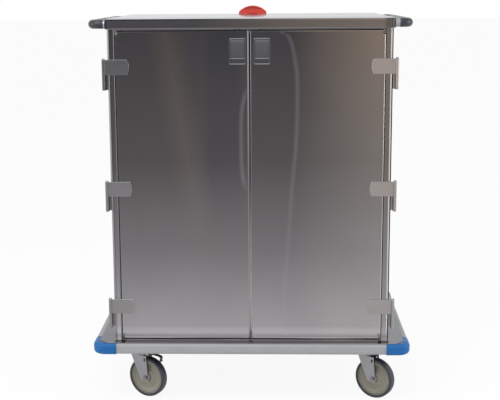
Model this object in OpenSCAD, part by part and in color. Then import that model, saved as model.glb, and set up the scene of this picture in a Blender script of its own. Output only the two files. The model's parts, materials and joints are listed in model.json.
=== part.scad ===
// Closed case cart: a two-door steel cabinet on a bumpered deck with four swivel casters.
// X runs to the right, Y to the back and Z up. The origin is on the floor under the middle.

/* [Cabinet] */
// Width of the cabinet body
body_w = 1067; // [960:1:1110]
// Depth of the cabinet body, from the door faces to the back panel
body_d = 670; // [600:1:720]
// Height of the rim of the top above the floor
rim_z = 1486; // [1350:1:1600]
// Thickness of the wall sheets
wall_t = 1.5; // [1:0.1:2.5]
// Width of the flanges that stiffen the wall sheets
flange_w = 15; // [10:1:22]
// Width of a front stile
stile_w = 27; // [22:1:34]
// Depth of a front stile
stile_d = 28; // [26.5:0.5:40]
// Distance of the header's face behind the door faces
header_back = 8; // [4:0.5:12]
// Height of the header that shows under the top
header_drop = 5; // [3:0.5:9]
// Width of the groove along a front stile
groove_w = 3.5; // [2:0.5:5]
// Depth of that groove
groove_d = 4; // [2:0.5:7]
// Distance of that groove from the cabinet's side
groove_in = 7.5; // [6:0.5:9]
// Height by which the stops behind the doors overlap them
stop_h = 14; // [8:1:20]

/* [Top] */
// Overhang of the top past the cabinet walls
cap_over = 8.5; // [5:0.5:14]
// Height of the top's rim
cap_h = 37; // [34:1:48]
// Radius of the top's upright corners
cap_r = 25; // [12:1:25]
// Height of the raised middle of the top above its rim
crown_h = 5; // [3:0.5:9]
// Width of the bevel round the raised middle
crown_bevel = 22; // [12:1:32]
// Distance of the bevel from the edge of the top
crown_inset = 3; // [2:0.5:8]

/* [Doors] */
// Thickness of a door
door_t = 25; // [23:0.5:26]
// Thickness of the door sheets
door_sheet = 1.2; // [0.8:0.1:1.6]
// Gap between a door and its stile
door_side_gap = 2; // [1.5:0.1:3]
// Gap between the two doors
door_mid_gap = 4; // [2.5:0.5:6]
// Gap above the doors
door_top_gap = 2; // [1.5:0.1:4]
// Gap under the doors
door_low_gap = 2.5; // [2:0.5:6]
// Width of the small cut at a door's outer corners
notch_w = 9; // [5:1:12]
// Height of the small cut at a door's outer corners
notch_h = 16; // [8:1:24]
// Thickness of the pads that show in those cuts
pad_t = 8; // [4:0.5:14]

/* [Hinges] */
// Distance of the hinge axis outside the cabinet wall
hinge_out = 14.5; // [13.5:0.5:18]
// Distance of the hinge axis in front of the door face
hinge_fwd = 5; // [4:0.5:5.5]
// Radius of a hinge barrel
barrel_r = 6.2; // [5.5:0.1:6.6]
// Radius of a hinge pin
pin_r = 3; // [2:0.1:4]
// Height of a hinge leaf and of the knuckle under it
leaf_h = 57; // [40:1:70]
// Thickness of a hinge leaf
leaf_t = 3; // [2:0.1:3.5]
// Reach of a hinge leaf from the hinge axis
leaf_reach = 95.5; // [75:0.5:110]
// Radius of the arc at the leaf's free end
leaf_r = 60; // [40:1:90]
// Distance of the top leaf under the top of the door
leaf_drop = 105.5; // [60:0.5:160]
// Distance between one hinge and the next
hinge_pitch = 464; // [380:1:480]
// Thickness of the arm that carries the lower knuckle
hinge_arm_t = 4; // [3:0.5:5]
// Reach of that arm behind the door face
hinge_arm_l = 46; // [36:1:60]
// Depth of the open slot between that arm and the wall
hinge_slot_d = 16; // [8:1:24]

/* [Latches] */
// Width of a latch frame
latch_w = 62; // [54:1:70]
// Height of a latch frame
latch_h = 98; // [88:1:110]
// Distance of a latch frame from the edge of its door
latch_edge = 13; // [8:1:24]
// Distance of a latch frame under the top of the door
latch_drop = 27.5; // [22:0.5:40]
// Width of the frame's border
latch_rim = 4.5; // [3:0.5:7]
// Depth of the latch recess behind the door face
latch_depth = 17; // [14:0.5:17.5]
// Height of the paddle
paddle_h = 72; // [56:1:76]
// Thickness of the paddle
paddle_t = 2.5; // [1.5:0.1:3]
// Width of a latch bolt
bolt_w = 10; // [6:0.5:14]
// Thickness of a latch bolt
bolt_t = 5; // [3:0.1:5.2]
// Reach of a latch bolt above the door
bolt_reach = 6.5; // [5:0.5:9]

/* [Deck and bumper] */
// Width over the corner bumpers
over_w = 1230; // [1190:1:1290]
// Depth over the corner bumpers
over_d = 800; // [780:1:860]
// Thickness of the bumper rails
rail_t = 25; // [18:1:32]
// Height of the bumper rails
rail_h = 42.5; // [36:0.5:46]
// Radius of a rail's outer edges
rail_r = 13; // [6:1:17]
// Distance by which the corner bumpers stand proud of the rails
corner_proud = 2; // [1:0.5:4]
// Outer radius of a corner bumper seen from above
corner_r = 48; // [36:1:60]
// Reach of a corner bumper along the front
corner_leg_w = 93; // [70:1:130]
// Reach of a corner bumper along the side
corner_leg_d = 101; // [70:1:130]
// Thickness of the deck sheet
deck_t = 2; // [1.5:0.1:4]
// Distance of the deck's edge behind the bumper at the sides
deck_in_w = 25; // [20:1:27]
// Distance of the deck's edge behind the bumper at the front and the back
deck_in_d = 11; // [8:1:24]
// Size of the deck's clipped corners
deck_clip = 35; // [20:1:50]

/* [Base frame] */
// Height of the base frame
base_h = 47; // [44:0.5:66]
// Width of a frame tube
tube_w = 25; // [20:1:50]
// Wall of a frame tube
tube_wall = 3; // [2:0.5:5]
// Distance by which a caster channel is wider than a caster plate, on each side
channel_side = 5; // [2:0.5:12]

/* [Casters] */
// Height of a caster, from the floor to the base frame
caster_h = 199; // [194:0.5:220]
// Distance of the swivel axes from the middle, sideways
caster_x = 451; // [400:1:485]
// Gap between a caster plate and the frame tube beside it
caster_gap = 13; // [0.5:0.5:40]
// Distance of the wheel's axle behind its swivel axis
trail = 44; // [36:1:50]
// Diameter of a wheel
wheel_d = 160; // [150:0.5:162]
// Width of a wheel's tread
wheel_w = 32; // [26:0.5:34]
// Thickness of the tread round the wheel core
tread_t = 11; // [6:0.5:14]
// Half the width of the wheel hub
hub_half = 18.5; // [17.5:0.1:19]
// Thickness of a yoke leg
leg_t = 3.2; // [2.5:0.1:4.5]
// Thickness of the caster plates
plate_t = 5; // [4:0.5:8]
// Width of a caster plate
plate_w = 102; // [98:1:110]
// Depth of a caster plate
plate_d = 114; // [110:1:130]
// Distance between the plate's bolts, sideways
bolt_sx = 67; // [60:1:76]
// Distance between the plate's bolts, front to back
bolt_sy = 92; // [86:1:98]
// Radius of the caster bolts
mount_r = 4.75; // [3:0.05:6]
// Radius of the king pin
king_r = 6.35; // [5:0.05:8]
// Radius of the axle bolt
axle_r = 6; // [5:0.1:7]
// Radius of the sleeve that the wheel turns on
sleeve_r = 8; // [7.5:0.1:10]

/* [Handles] */
// Radius of the handle tube
handle_r = 15.9; // [12:0.1:16.5]
// Wall of the handle tube
handle_wall = 2; // [1:0.1:3]
// Thickness of the grip sleeve
grip_t = 1.1; // [0.8:0.1:1.4]
// Distance of the handle bar's centre outside the top
handle_out = 50; // [44:0.5:60]
// Radius of the handle's bends
handle_bend = 27; // [20:1:34]
// Distance of a handle arm's centre behind the front of the cabinet
handle_in = 25; // [20:1:60]
// Thickness of the collar that joins an arm to the top
collar_t = 3; // [2:0.5:5]

/* [Shelves] */
// Height of the lower shelf above the deck
shelf_low = 390; // [300:1:450]
// Height of the upper shelf above the deck
shelf_high = 790; // [700:1:850]
// Height of a shelf's edge
shelf_edge = 22; // [15:1:35]
// Depth of a shelf standard from the wall
standard_d = 12; // [8:1:18]
// Width of a shelf standard
standard_w = 24; // [16:1:32]
// Distance of the front standards behind the middle
standard_y1 = -200; // [-240:1:-120]
// Distance of the rear standards behind the middle
standard_y2 = 230; // [120:1:260]

/* [Status sign] */
// Width of the status sign
sign_w = 118; // [80:1:160]
// Height of the status sign
sign_h = 34; // [30:1:50]
// Height of the sign's upright ends
sign_side = 8; // [4:1:14]
// Thickness of the sign
sign_t = 3; // [2:0.1:4]
// Distance of the sign's pin in front of the back of the raised top
sign_in = 10.5; // [8:0.5:40]

/* [Hidden] */
$fn = 48;
// Radial clearance of a pin or shaft that turns
run = 0.05;
// Clearance between pieces that are seated on each other but move
seat = 0.25;
// Clearance of a pad or a pan in its cut-out
fit = 0.75;
// Clearance of a sleeve that is pushed on
snug = 0.02;
// Length that a cut runs past a face
past = 1;
// Depth by which welded pieces of one node run into each other
weld = 0.01;

// Heights
rail_z1 = caster_h + base_h;
rail_z0 = rail_z1 - rail_h;
deck_z = rail_z1 + deck_t;
roof_z = rim_z - wall_t;
cap_z0 = rim_z - cap_h;
crown_z = rim_z + crown_h;
header_z0 = cap_z0 - header_drop;
door_z1 = header_z0 - door_top_gap;
door_z0 = deck_z + door_low_gap;
// Cabinet faces
half_w = body_w / 2;
front_y = -body_d / 2;
back_y = body_d / 2;
inner_x = half_w - wall_t;
stile_x = half_w - stile_w;
cap_x = half_w + cap_over;
cap_y = back_y + cap_over;
// Doors
door_x1 = stile_x - door_side_gap;
door_x0 = door_mid_gap / 2;
door_back = front_y + door_t;
liner_gap = 0.1;
// Hinges
hinge_x = half_w + hinge_out;
hinge_y = front_y - hinge_fwd;
leaf_back = front_y - seat;
leaf_tops = [for (k = [0:2]) door_z1 - leaf_drop - k * hinge_pitch];
pin_head_h = 5;
weld_r = 0.5;
// Latches
latch_x = door_x0 + latch_edge + latch_w / 2;
latch_z1 = door_z1 - latch_drop;
latch_z0 = latch_z1 - latch_h;
latch_wall = 1.5;
pan_in = 3;
pan_w = latch_w - 2 * pan_in;
pan_h = latch_h - 2 * pan_in;
pan_z0 = latch_z0 + pan_in;
latch_r = 7.5;
open_w = latch_w - 2 * latch_rim;
open_z1 = latch_z1 - latch_rim;
open_z0 = latch_z0 + latch_rim;
paddle_pin_r = 1.5;
paddle_barrel_r = 3;
paddle_in = 1;
paddle_gap = 0.5;
paddle_lip = 8;
paddle_lip_t = 2;
paddle_pin_y = front_y + paddle_in + paddle_barrel_r;
paddle_pin_z = open_z1 - paddle_gap - paddle_barrel_r;
bolt_y0 = front_y + latch_depth + seat;
bolt_z0 = latch_z1 - latch_h / 2;
// Deck and bumper
over_x = over_w / 2;
over_y = over_d / 2;
rail_x = over_x - corner_proud;
rail_y = over_y - corner_proud;
frame_x = rail_x - rail_t;
frame_y = rail_y - rail_t;
caster_y = frame_y - tube_w - caster_gap - plate_d / 2;
channel_w = plate_w + 2 * channel_side;
rail_len_x = over_w - 2 * corner_leg_w - 2 * seat;
rail_len_y = over_d - 2 * corner_leg_d - 2 * seat;
// Casters: the local X axis points from the swivel axis to the axle
axle_z = wheel_d / 2;
plate_z0 = caster_h - plate_t;
race_h = 5.5;
race_r = 31;
crown_disc_r = 38;
crown_disc_t = 8;
crown_top_z = plate_z0 - race_h - seat;
crown_low_z = crown_top_z - crown_disc_t;
bridge_t = 5;
bridge_x0 = -27;
bridge_x1 = 48;
leg_in = hub_half + 0.5;
leg_out = leg_in + leg_t;
core_r = wheel_d / 2 - tread_t;
tread_lip = 2.5;
lug_x = 50;
lug_drop = 12.2;
lug_z = crown_top_z - lug_drop;
lug_r = 7;
lug_in = 14;
lug_t = 3;
hole_gap = 0.4;
plate_r = 6;
lug_pin_r = 3;
// Names of the casters are front or rear and left or right: [x side, y side, rest angle]
FL = [-1, -1, -26];
FR = [1, -1, -33];
RL = [-1, 1, -24];
RR = [1, 1, -35];
// Handles
handle_z = rim_z - cap_h / 2;
bar_x = cap_x + handle_out;
bend_x = bar_x - handle_bend;
arm_y = -front_y - handle_in;
grip_r = handle_r + grip_t;
grip_end = 12;
collar_w = 2.1;
// Shelves
standard_x = inner_x - standard_d;
shelf_x = standard_x - 1;
shelf_y0 = front_y + stile_d + 25;
shelf_y1 = back_y - wall_t - 10;
clip_h = 10;
clip_l = 14;
standard_end = 60;
// Status sign
sign_pin_r = 1.5;
sign_knuckle_r = 3;
sign_plate_t = 1.5;
sign_mid = 12;
sign_side_w = 8;
sign_fwd = 5;
sign_pin_y = cap_y - crown_inset - crown_bevel - sign_in;
sign_pin_z = crown_z + sign_plate_t + sign_knuckle_r + seat;

// Points of an arc, from angle a0 to a1 in n steps
function arc(cx, cy, r, a0, a1, n = 8) =
    [for (k = [0:n]) let (a = a0 + (a1 - a0) * k / n) [cx + r * cos(a), cy + r * sin(a)]];

// A box from its low corner to its high corner
module span(low, high) {
    translate(low) cube(high - low);
}

// The children and their mirror image across the middle of the cart
module both_sides() {
    children();
    mirror([1, 0, 0]) children();
}

// The children on the left (side -1) or on the right (side 1), drawn for the right
module on_side(side) {
    if (side > 0) children();
    else mirror([1, 0, 0]) children();
}

// Upright slab with its four corners rounded, centred on the origin
module rounded_slab(w, d, h, r) {
    translate([-w / 2 + r, -d / 2, 0]) cube([w - 2 * r, d, h]);
    translate([-w / 2, -d / 2 + r, 0]) cube([w, d - 2 * r, h]);
    for (x = [-1, 1], y = [-1, 1])
        translate([x * (w / 2 - r), y * (d / 2 - r), 0]) cylinder(r = r, h = h);
}

// Bumper profile: x is the distance outwards from the frame, y is the height
module rail_profile(t, h, r) {
    polygon(concat([[0, 0]], arc(t - r, r, r, -90, 0), arc(t - r, h - r, r, 0, 90), [[0, h]]));
}

// Caster plates with their raceways and king pins
module caster_plates() {
    head_r = king_r + 5.5;
    head_h = 5;
    color([0.62, 0.63, 0.65])
    for (x = [-1, 1], y = [-1, 1]) translate([x * caster_x, y * caster_y, 0]) {
        difference() {
            translate([0, 0, plate_z0]) rounded_slab(plate_w, plate_d, plate_t, plate_r);
            for (i = [-1, 1], j = [-1, 1]) translate([i * bolt_sx / 2, j * bolt_sy / 2, plate_z0 - past])
                cylinder(r = mount_r + hole_gap, h = plate_t + 2 * past);
        }
        translate([0, 0, plate_z0 - race_h]) cylinder(r = race_r, h = race_h);
        translate([0, 0, crown_low_z - seat - past])
            cylinder(r = king_r, h = plate_z0 - crown_low_z + seat);
        translate([0, 0, crown_low_z - seat - head_h]) cylinder(r = head_r, h = head_h);
    }
}

// Bolts and nuts that hold the caster plates
module caster_bolts() {
    head_h = 4.8;
    nut_h = 8;
    end_l = 3;
    head_r = mount_r * 1.75;
    color([0.72, 0.73, 0.75])
    for (x = [-1, 1], y = [-1, 1], i = [-1, 1], j = [-1, 1])
        translate([x * caster_x + i * bolt_sx / 2, y * caster_y + j * bolt_sy / 2, 0]) {
            translate([0, 0, plate_z0 - head_h]) cylinder(r = head_r, h = head_h, $fn = 6);
            translate([0, 0, plate_z0 - past])
                cylinder(r = mount_r, h = plate_t + tube_wall + nut_h + end_l + past);
            translate([0, 0, caster_h + tube_wall]) cylinder(r = head_r, h = nut_h, $fn = 6);
        }
}

// Welded frame under the deck
module base_frame() {
    color([0.58, 0.59, 0.61]) difference() {
        union() {
            for (y = [-1, 1]) hollow_bar([0, y * (frame_y - tube_w / 2)], [2 * frame_x, tube_w]);
            for (x = [-1, 0, 1])
                hollow_bar([x * (frame_x - tube_w / 2), 0], [tube_w, 2 * (frame_y - tube_w + weld)]);
            for (x = [-1, 1]) translate([x * caster_x, 0, caster_h]) difference() {
                translate([-channel_w / 2, -frame_y + tube_w - weld, 0])
                    cube([channel_w, 2 * (frame_y - tube_w + weld), base_h]);
                translate([-channel_w / 2 + tube_wall, -frame_y, tube_wall])
                    cube([channel_w - 2 * tube_wall, 2 * frame_y, base_h]);
            }
        }
        for (x = [-1, 1], y = [-1, 1], i = [-1, 1], j = [-1, 1])
            translate([x * caster_x + i * bolt_sx / 2, y * caster_y + j * bolt_sy / 2, caster_h - past])
                cylinder(r = mount_r + hole_gap, h = tube_wall + 2 * past);
    }
}

// Rectangular tube lying flat, with its hollow running along its longer side
module hollow_bar(at, size) {
    along_x = size[0] > size[1];
    w = size[0] - (along_x ? -2 * past : 2 * tube_wall);
    d = size[1] - (along_x ? 2 * tube_wall : -2 * past);
    translate([at[0], at[1], caster_h]) difference() {
        translate([-size[0] / 2, -size[1] / 2, 0]) cube([size[0], size[1], base_h]);
        translate([-w / 2, -d / 2, tube_wall]) cube([w, d, base_h - 2 * tube_wall]);
    }
}

// Deck sheet with its clipped corners
module base_deck() {
    x = over_x - deck_in_w;
    y = over_y - deck_in_d;
    c = deck_clip;
    color([0.55, 0.56, 0.59]) translate([0, 0, rail_z1]) linear_extrude(height = deck_t)
        polygon([[-x + c, -y], [x - c, -y], [x, -y + c], [x, y - c],
                 [x - c, y], [-x + c, y], [-x, y - c], [-x, -y + c]]);
}

// Straight rail of the bumper, drawn along X with its back on the frame
module rail(len, dist) {
    color([0.65, 0.66, 0.67]) translate([len / 2, -dist, rail_z0]) rotate([90, 0, -90])
        linear_extrude(height = len) rail_profile(rail_t, rail_h, rail_r);
}

module bumper_rail_front() { rail(rail_len_x, frame_y); }
module bumper_rail_rear() { rotate(180) rail(rail_len_x, frame_y); }
module bumper_rail_left() { rotate(-90) rail(rail_len_y, frame_x); }
module bumper_rail_right() { rotate(90) rail(rail_len_y, frame_x); }

// Corner bumper for the right rear corner, cut back where the frame stands
module corner_bumper() {
    t = rail_t + corner_proud;
    h = rail_h + corner_proud;
    r = rail_r + corner_proud / 2;
    cx = over_x - corner_r;
    cy = over_y - corner_r;
    translate([0, 0, rail_z1 - h]) difference() {
        union() {
            translate([cx, cy, 0]) intersection() {
                rotate_extrude() rail_profile(corner_r, h, r);
                cube([corner_r + past, corner_r + past, h]);
            }
            translate([over_x - corner_leg_w, over_y - t, 0]) rotate([90, 0, 90])
                linear_extrude(height = corner_leg_w - corner_r) rail_profile(t, h, r);
            translate([over_x - t, cy, 0]) rotate([90, 0, 0])
                linear_extrude(height = corner_leg_d - corner_r) rail_profile(t, h, r);
        }
        translate([0, 0, -past]) cube([frame_x, frame_y, h + 2 * past]);
    }
}

module corner_bumpers() {
    color([0.18, 0.42, 0.70]) both_sides() {
        corner_bumper();
        mirror([0, 1, 0]) corner_bumper();
    }
}

// Side wall: a sheet with a flange at its foot, its head and its back
module side_panel() {
    y0 = front_y + stile_d;
    color([0.60, 0.60, 0.61]) {
        span([inner_x, y0, deck_z], [half_w, back_y, roof_z]);
        span([inner_x - flange_w, y0, deck_z], [inner_x, back_y - wall_t, deck_z + wall_t]);
        span([inner_x - flange_w, y0, roof_z - wall_t], [inner_x, back_y - wall_t, roof_z]);
    }
}

module left_side_panel() { on_side(-1) side_panel(); }
module right_side_panel() { on_side(1) side_panel(); }

// Back wall between the side walls, with a flange at its foot and its head
module back_panel() {
    w = inner_x - flange_w;
    color([0.60, 0.60, 0.61]) {
        span([-inner_x, back_y - wall_t, deck_z], [inner_x, back_y, roof_z]);
        for (z = [deck_z, roof_z - wall_t])
            span([-w, back_y - wall_t - flange_w, z], [w, back_y - wall_t, z + wall_t]);
    }
}

// Slab with a bevelled top, grown outwards by g
module crown_block(z0, z1, g) {
    x = cap_x - crown_inset - crown_bevel + g;
    y = cap_y - crown_inset - crown_bevel + g;
    b = crown_bevel;
    intersection() {
        translate([0, cap_y, 0]) rotate([90, 0, 0]) linear_extrude(height = 2 * cap_y)
            polygon([[-x - b, z0], [x + b, z0], [x, z1], [-x, z1]]);
        translate([-cap_x, 0, 0]) rotate([90, 0, 90]) linear_extrude(height = 2 * cap_x)
            polygon([[-y - b, z0], [y + b, z0], [y, z1], [-y, z1]]);
    }
}

// Top: a folded pan with a rounded rim, a hem under it and a raised middle
module roof_cap() {
    w = 2 * cap_x;
    d = 2 * cap_y;
    color([0.80, 0.80, 0.82]) difference() {
        union() {
            translate([0, 0, cap_z0]) rounded_slab(w, d, cap_h, cap_r);
            crown_block(rim_z, crown_z, 0);
        }
        translate([0, 0, cap_z0 + wall_t])
            rounded_slab(w - 2 * wall_t, d - 2 * wall_t, cap_h - 2 * wall_t, cap_r - wall_t);
        span([-half_w, front_y, cap_z0 - past], [half_w, back_y, cap_z0 + 2 * wall_t]);
        crown_block(roof_z - weld, crown_z - wall_t, -wall_t / 2);
    }
}

// Front stile: a box tube beside the door, with a groove folded into its face
module front_stile() {
    g1 = half_w - groove_in;
    g0 = g1 - groove_w;
    x0 = stile_x + wall_t;
    x1 = half_w - wall_t;
    y0 = front_y + wall_t;
    y1 = front_y + stile_d - wall_t;
    z0 = deck_z - past;
    z1 = roof_z + past;
    color([0.57, 0.57, 0.58]) difference() {
        span([stile_x, front_y, deck_z], [half_w, front_y + stile_d, roof_z]);
        span([x0, y0 + groove_d, z0], [x1, y1, z1]);
        span([x0, y0, z0], [g0 - wall_t, y1, z1]);
        span([g1 + wall_t, y0, z0], [x1, y1, z1]);
        span([g0, front_y - past, z0], [g1, front_y + groove_d, z1]);
    }
}

module left_front_stile() { on_side(-1) front_stile(); }
module right_front_stile() { on_side(1) front_stile(); }

// Header over the doors: a tube with a stop strip and a notch for each latch bolt
module header() {
    y0 = front_y + header_back;
    y1 = front_y + stile_d;
    color([0.50, 0.50, 0.52]) difference() {
        union() {
            span([-stile_x, y0, header_z0], [stile_x, y1, roof_z]);
            span([-stile_x, y1 - wall_t, door_z1 - stop_h], [stile_x, y1, header_z0]);
        }
        span([-stile_x - past, y0 + wall_t, header_z0 + wall_t],
             [stile_x + past, y1 - wall_t, roof_z - wall_t]);
        both_sides() span([latch_x - bolt_w, y0 - past, header_z0 - past],
                          [latch_x + bolt_w, bolt_y0 + bolt_t + fit, door_z1 + bolt_reach + fit]);
    }
}

// Sill: an angle behind the foot of the doors
module sill() {
    y1 = front_y + stile_d;
    color([0.57, 0.57, 0.58]) {
        span([-stile_x, y1 - wall_t, deck_z], [stile_x, y1, door_z0 + stop_h]);
        span([-stile_x, y1, deck_z], [stile_x, y1 + flange_w, deck_z + wall_t]);
    }
}

// Pads behind the small cuts at the doors' outer corners, on the header and the sill
module corner_pads() {
    x0 = door_x1 - notch_w + fit;
    y1 = front_y + stile_d - wall_t;
    color([0.93, 0.93, 0.92]) both_sides() {
        span([x0, y1 - pad_t, door_z1 - notch_h + fit], [stile_x, y1, header_z0]);
        span([x0, y1 - pad_t, deck_z], [stile_x, y1, door_z0 + notch_h - fit]);
    }
}

// Slotted channels on the side walls that carry the shelf clips
module shelf_standards() {
    slot_pitch = 50;
    slot_h = 12;
    slot_w = 8;
    z0 = deck_z + standard_end;
    z1 = roof_z - standard_end;
    slots = floor((z1 - z0 - slot_pitch) / slot_pitch);
    first = z0 + slot_pitch / 2;
    color([0.66, 0.66, 0.67]) both_sides() for (y = [standard_y1, standard_y2]) difference() {
        span([standard_x, y - standard_w / 2, z0], [inner_x, y + standard_w / 2, z1]);
        span([standard_x + wall_t, y - standard_w / 2 + wall_t, z0 - past],
             [inner_x + past, y + standard_w / 2 - wall_t, z1 + past]);
        for (k = [0:slots])
            span([standard_x - past, y - slot_w / 2, first + k * slot_pitch],
                 [standard_x + wall_t + past, y + slot_w / 2, first + k * slot_pitch + slot_h]);
    }
}

// Clips under the shelves
module shelf_clips() {
    color([0.72, 0.72, 0.73]) both_sides()
        for (y = [standard_y1, standard_y2], z = [shelf_low, shelf_high])
            translate([standard_x - clip_l, y - standard_w / 2, deck_z + z - shelf_edge - clip_h])
                cube([clip_l, standard_w, clip_h]);
}

// Shelf: a pan with its edges turned down and a low lip at the back
module shelf(height) {
    z1 = deck_z + height;
    color([0.66, 0.66, 0.67]) {
        difference() {
            span([-shelf_x, shelf_y0, z1 - shelf_edge], [shelf_x, shelf_y1, z1]);
            span([-shelf_x + wall_t, shelf_y0 + wall_t, z1 - shelf_edge - past],
                 [shelf_x - wall_t, shelf_y1 - wall_t, z1 - wall_t]);
        }
        span([-shelf_x, shelf_y1 - wall_t, z1], [shelf_x, shelf_y1, z1 + shelf_edge]);
    }
}

module shelf_lower() { shelf(shelf_low); }
module shelf_upper() { shelf(shelf_high); }

// Side handle as a solid bar of radius r, from the top's side round both bends
module handle_path(r, x0) {
    for (y = [-1, 1]) {
        translate([x0, y * arm_y, 0]) rotate([0, 90, 0]) cylinder(r = r, h = bend_x - x0);
        translate([bend_x, y * (arm_y - handle_bend), 0]) intersection() {
            rotate_extrude() translate([handle_bend, 0]) circle(r = r);
            translate([0, y < 0 ? -handle_bend - 2 * r : 0, -2 * r])
                cube([handle_bend + 2 * r, handle_bend + 2 * r, 4 * r]);
        }
    }
    translate([bar_x, -arm_y + handle_bend, 0]) rotate([-90, 0, 0])
        cylinder(r = r, h = 2 * (arm_y - handle_bend));
}

// Handle tube with a collar where each arm meets the top
module handle_tube() {
    color([0.68, 0.68, 0.68]) translate([0, 0, handle_z]) {
        difference() {
            handle_path(handle_r, cap_x);
            handle_path(handle_r - handle_wall, cap_x - past);
        }
        for (y = [-1, 1]) translate([cap_x, y * arm_y, 0]) rotate([0, 90, 0]) difference() {
            cylinder(r = min(handle_r + collar_w, cap_h / 2), h = collar_t);
            translate([0, 0, -past]) cylinder(r = handle_r - handle_wall / 4, h = collar_t + 2 * past);
        }
    }
}

// Soft grip over the bends and the bar
module handle_grip() {
    color([0.30, 0.31, 0.34]) translate([0, 0, handle_z]) difference() {
        handle_path(grip_r, bend_x - grip_end);
        handle_path(handle_r + snug, bend_x - grip_end - past);
    }
}

module left_handle_tube() { on_side(-1) handle_tube(); }
module right_handle_tube() { on_side(1) handle_tube(); }
module left_handle_grip() { on_side(-1) handle_grip(); }
module right_handle_grip() { on_side(1) handle_grip(); }

// Fixed halves of the hinges: a knuckle on an arm that stands off the wall
module hinge_brackets() {
    color([0.60, 0.60, 0.61]) both_sides() for (z = leaf_tops)
        translate([0, 0, z - 2 * leaf_h - seat]) difference() {
            union() {
                translate([hinge_x, hinge_y, 0]) cylinder(r = barrel_r, h = leaf_h);
                span([hinge_x - barrel_r, hinge_y, 0],
                     [hinge_x - barrel_r + hinge_arm_t, front_y + hinge_arm_l, leaf_h]);
                span([half_w, front_y + hinge_slot_d, 0],
                     [hinge_x - barrel_r + hinge_arm_t, front_y + hinge_arm_l, leaf_h]);
            }
            translate([hinge_x, hinge_y, -past]) cylinder(r = pin_r, h = leaf_h + 2 * past);
        }
}

// Hinge pins with a low head above each leaf
module hinge_pins() {
    color([0.66, 0.66, 0.67]) both_sides() for (z = leaf_tops) translate([hinge_x, hinge_y, 0]) {
        translate([0, 0, z - 2 * leaf_h]) cylinder(r = pin_r, h = 2 * leaf_h + seat + past);
        translate([0, 0, z + seat]) cylinder(r = barrel_r - weld_r, h = pin_head_h);
    }
}

// Moving halves of one door's hinges: a flat leaf on the door and a knuckle
module hinge_leaves() {
    end = hinge_x - leaf_reach + leaf_r;
    half_turn = asin(leaf_h / 2 / leaf_r);
    color([0.56, 0.55, 0.54]) for (z = leaf_tops) translate([0, 0, z - leaf_h]) difference() {
        union() {
            translate([0, leaf_back, 0]) rotate([90, 0, 0]) linear_extrude(height = leaf_t)
                polygon(concat([[hinge_x, 0], [hinge_x, leaf_h]],
                               arc(end, leaf_h / 2, leaf_r, 180 - half_turn, 180 + half_turn)));
            translate([hinge_x, hinge_y, 0]) cylinder(r = barrel_r, h = leaf_h);
        }
        translate([hinge_x, hinge_y, -past]) cylinder(r = pin_r + run, h = leaf_h + 2 * past);
    }
}

module left_hinge_leaves() { on_side(-1) hinge_leaves(); }
module right_hinge_leaves() { on_side(1) hinge_leaves(); }

// Outer pan of a door, open at the back, with the latch cut-out and the bolt's slot
module door_skin() {
    s = door_sheet;
    color([0.52, 0.51, 0.51]) difference() {
        span([door_x0, front_y, door_z0], [door_x1, door_back, door_z1]);
        difference() {
            span([door_x0 + s, front_y + s, door_z0 + s],
                 [door_x1 - s, door_back + past, door_z1 - s]);
            for (z = [door_z0, door_z1 - notch_h - s])
                span([door_x1 - notch_w - s, front_y, z],
                     [door_x1, door_back + 2 * past, z + notch_h + s]);
        }
        for (z = [door_z0 - past, door_z1 - notch_h])
            span([door_x1 - notch_w, front_y - past, z],
                 [door_x1 + past, door_back + past, z + notch_h + past]);
        span([latch_x - pan_w / 2 - seat, front_y - past, pan_z0 - seat],
             [latch_x + pan_w / 2 + seat, front_y + s + past, pan_z0 + pan_h + seat]);
        span([latch_x - bolt_w / 2 - seat, bolt_y0 - seat, door_z1 - s - past],
             [latch_x + bolt_w / 2 + seat, bolt_y0 + bolt_t + seat, door_z1 + past]);
    }
}

// Inner sheet that closes a door
module door_liner() {
    s = door_sheet + liner_gap;
    color([0.60, 0.60, 0.61]) difference() {
        span([door_x0 + s, door_back - door_sheet, door_z0 + s],
             [door_x1 - s, door_back, door_z1 - s]);
        for (z = [door_z0, door_z1 - notch_h - s])
            span([door_x1 - notch_w - s, door_back - 2 * past, z],
                 [door_x1, door_back + past, z + notch_h + s]);
    }
}

module left_door_skin() { on_side(-1) door_skin(); }
module right_door_skin() { on_side(1) door_skin(); }
module left_door_liner() { on_side(-1) door_liner(); }
module right_door_liner() { on_side(1) door_liner(); }

// Latch frame and recess, with the paddle's pin across it
module latch_housing() {
    x0 = latch_x - pan_w / 2;
    x1 = latch_x + pan_w / 2;
    y1 = front_y + latch_depth;
    color([0.62, 0.62, 0.63]) difference() {
        union() {
            translate([latch_x, front_y, (latch_z0 + latch_z1) / 2]) rotate([90, 0, 0])
                rounded_slab(latch_w, latch_h, latch_wall, latch_r);
            span([x0, front_y, pan_z0], [x1, y1, pan_z0 + pan_h]);
        }
        difference() {
            union() {
                span([latch_x - open_w / 2, front_y - latch_wall - past, open_z0],
                     [latch_x + open_w / 2, y1 - latch_wall, open_z1]);
                span([x0 + latch_wall, front_y + latch_wall, pan_z0 + latch_wall],
                     [x1 - latch_wall, y1 - latch_wall, pan_z0 + pan_h - latch_wall]);
            }
            translate([x0, paddle_pin_y, paddle_pin_z]) rotate([0, 90, 0])
                cylinder(r = paddle_pin_r, h = pan_w);
        }
    }
}

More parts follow.
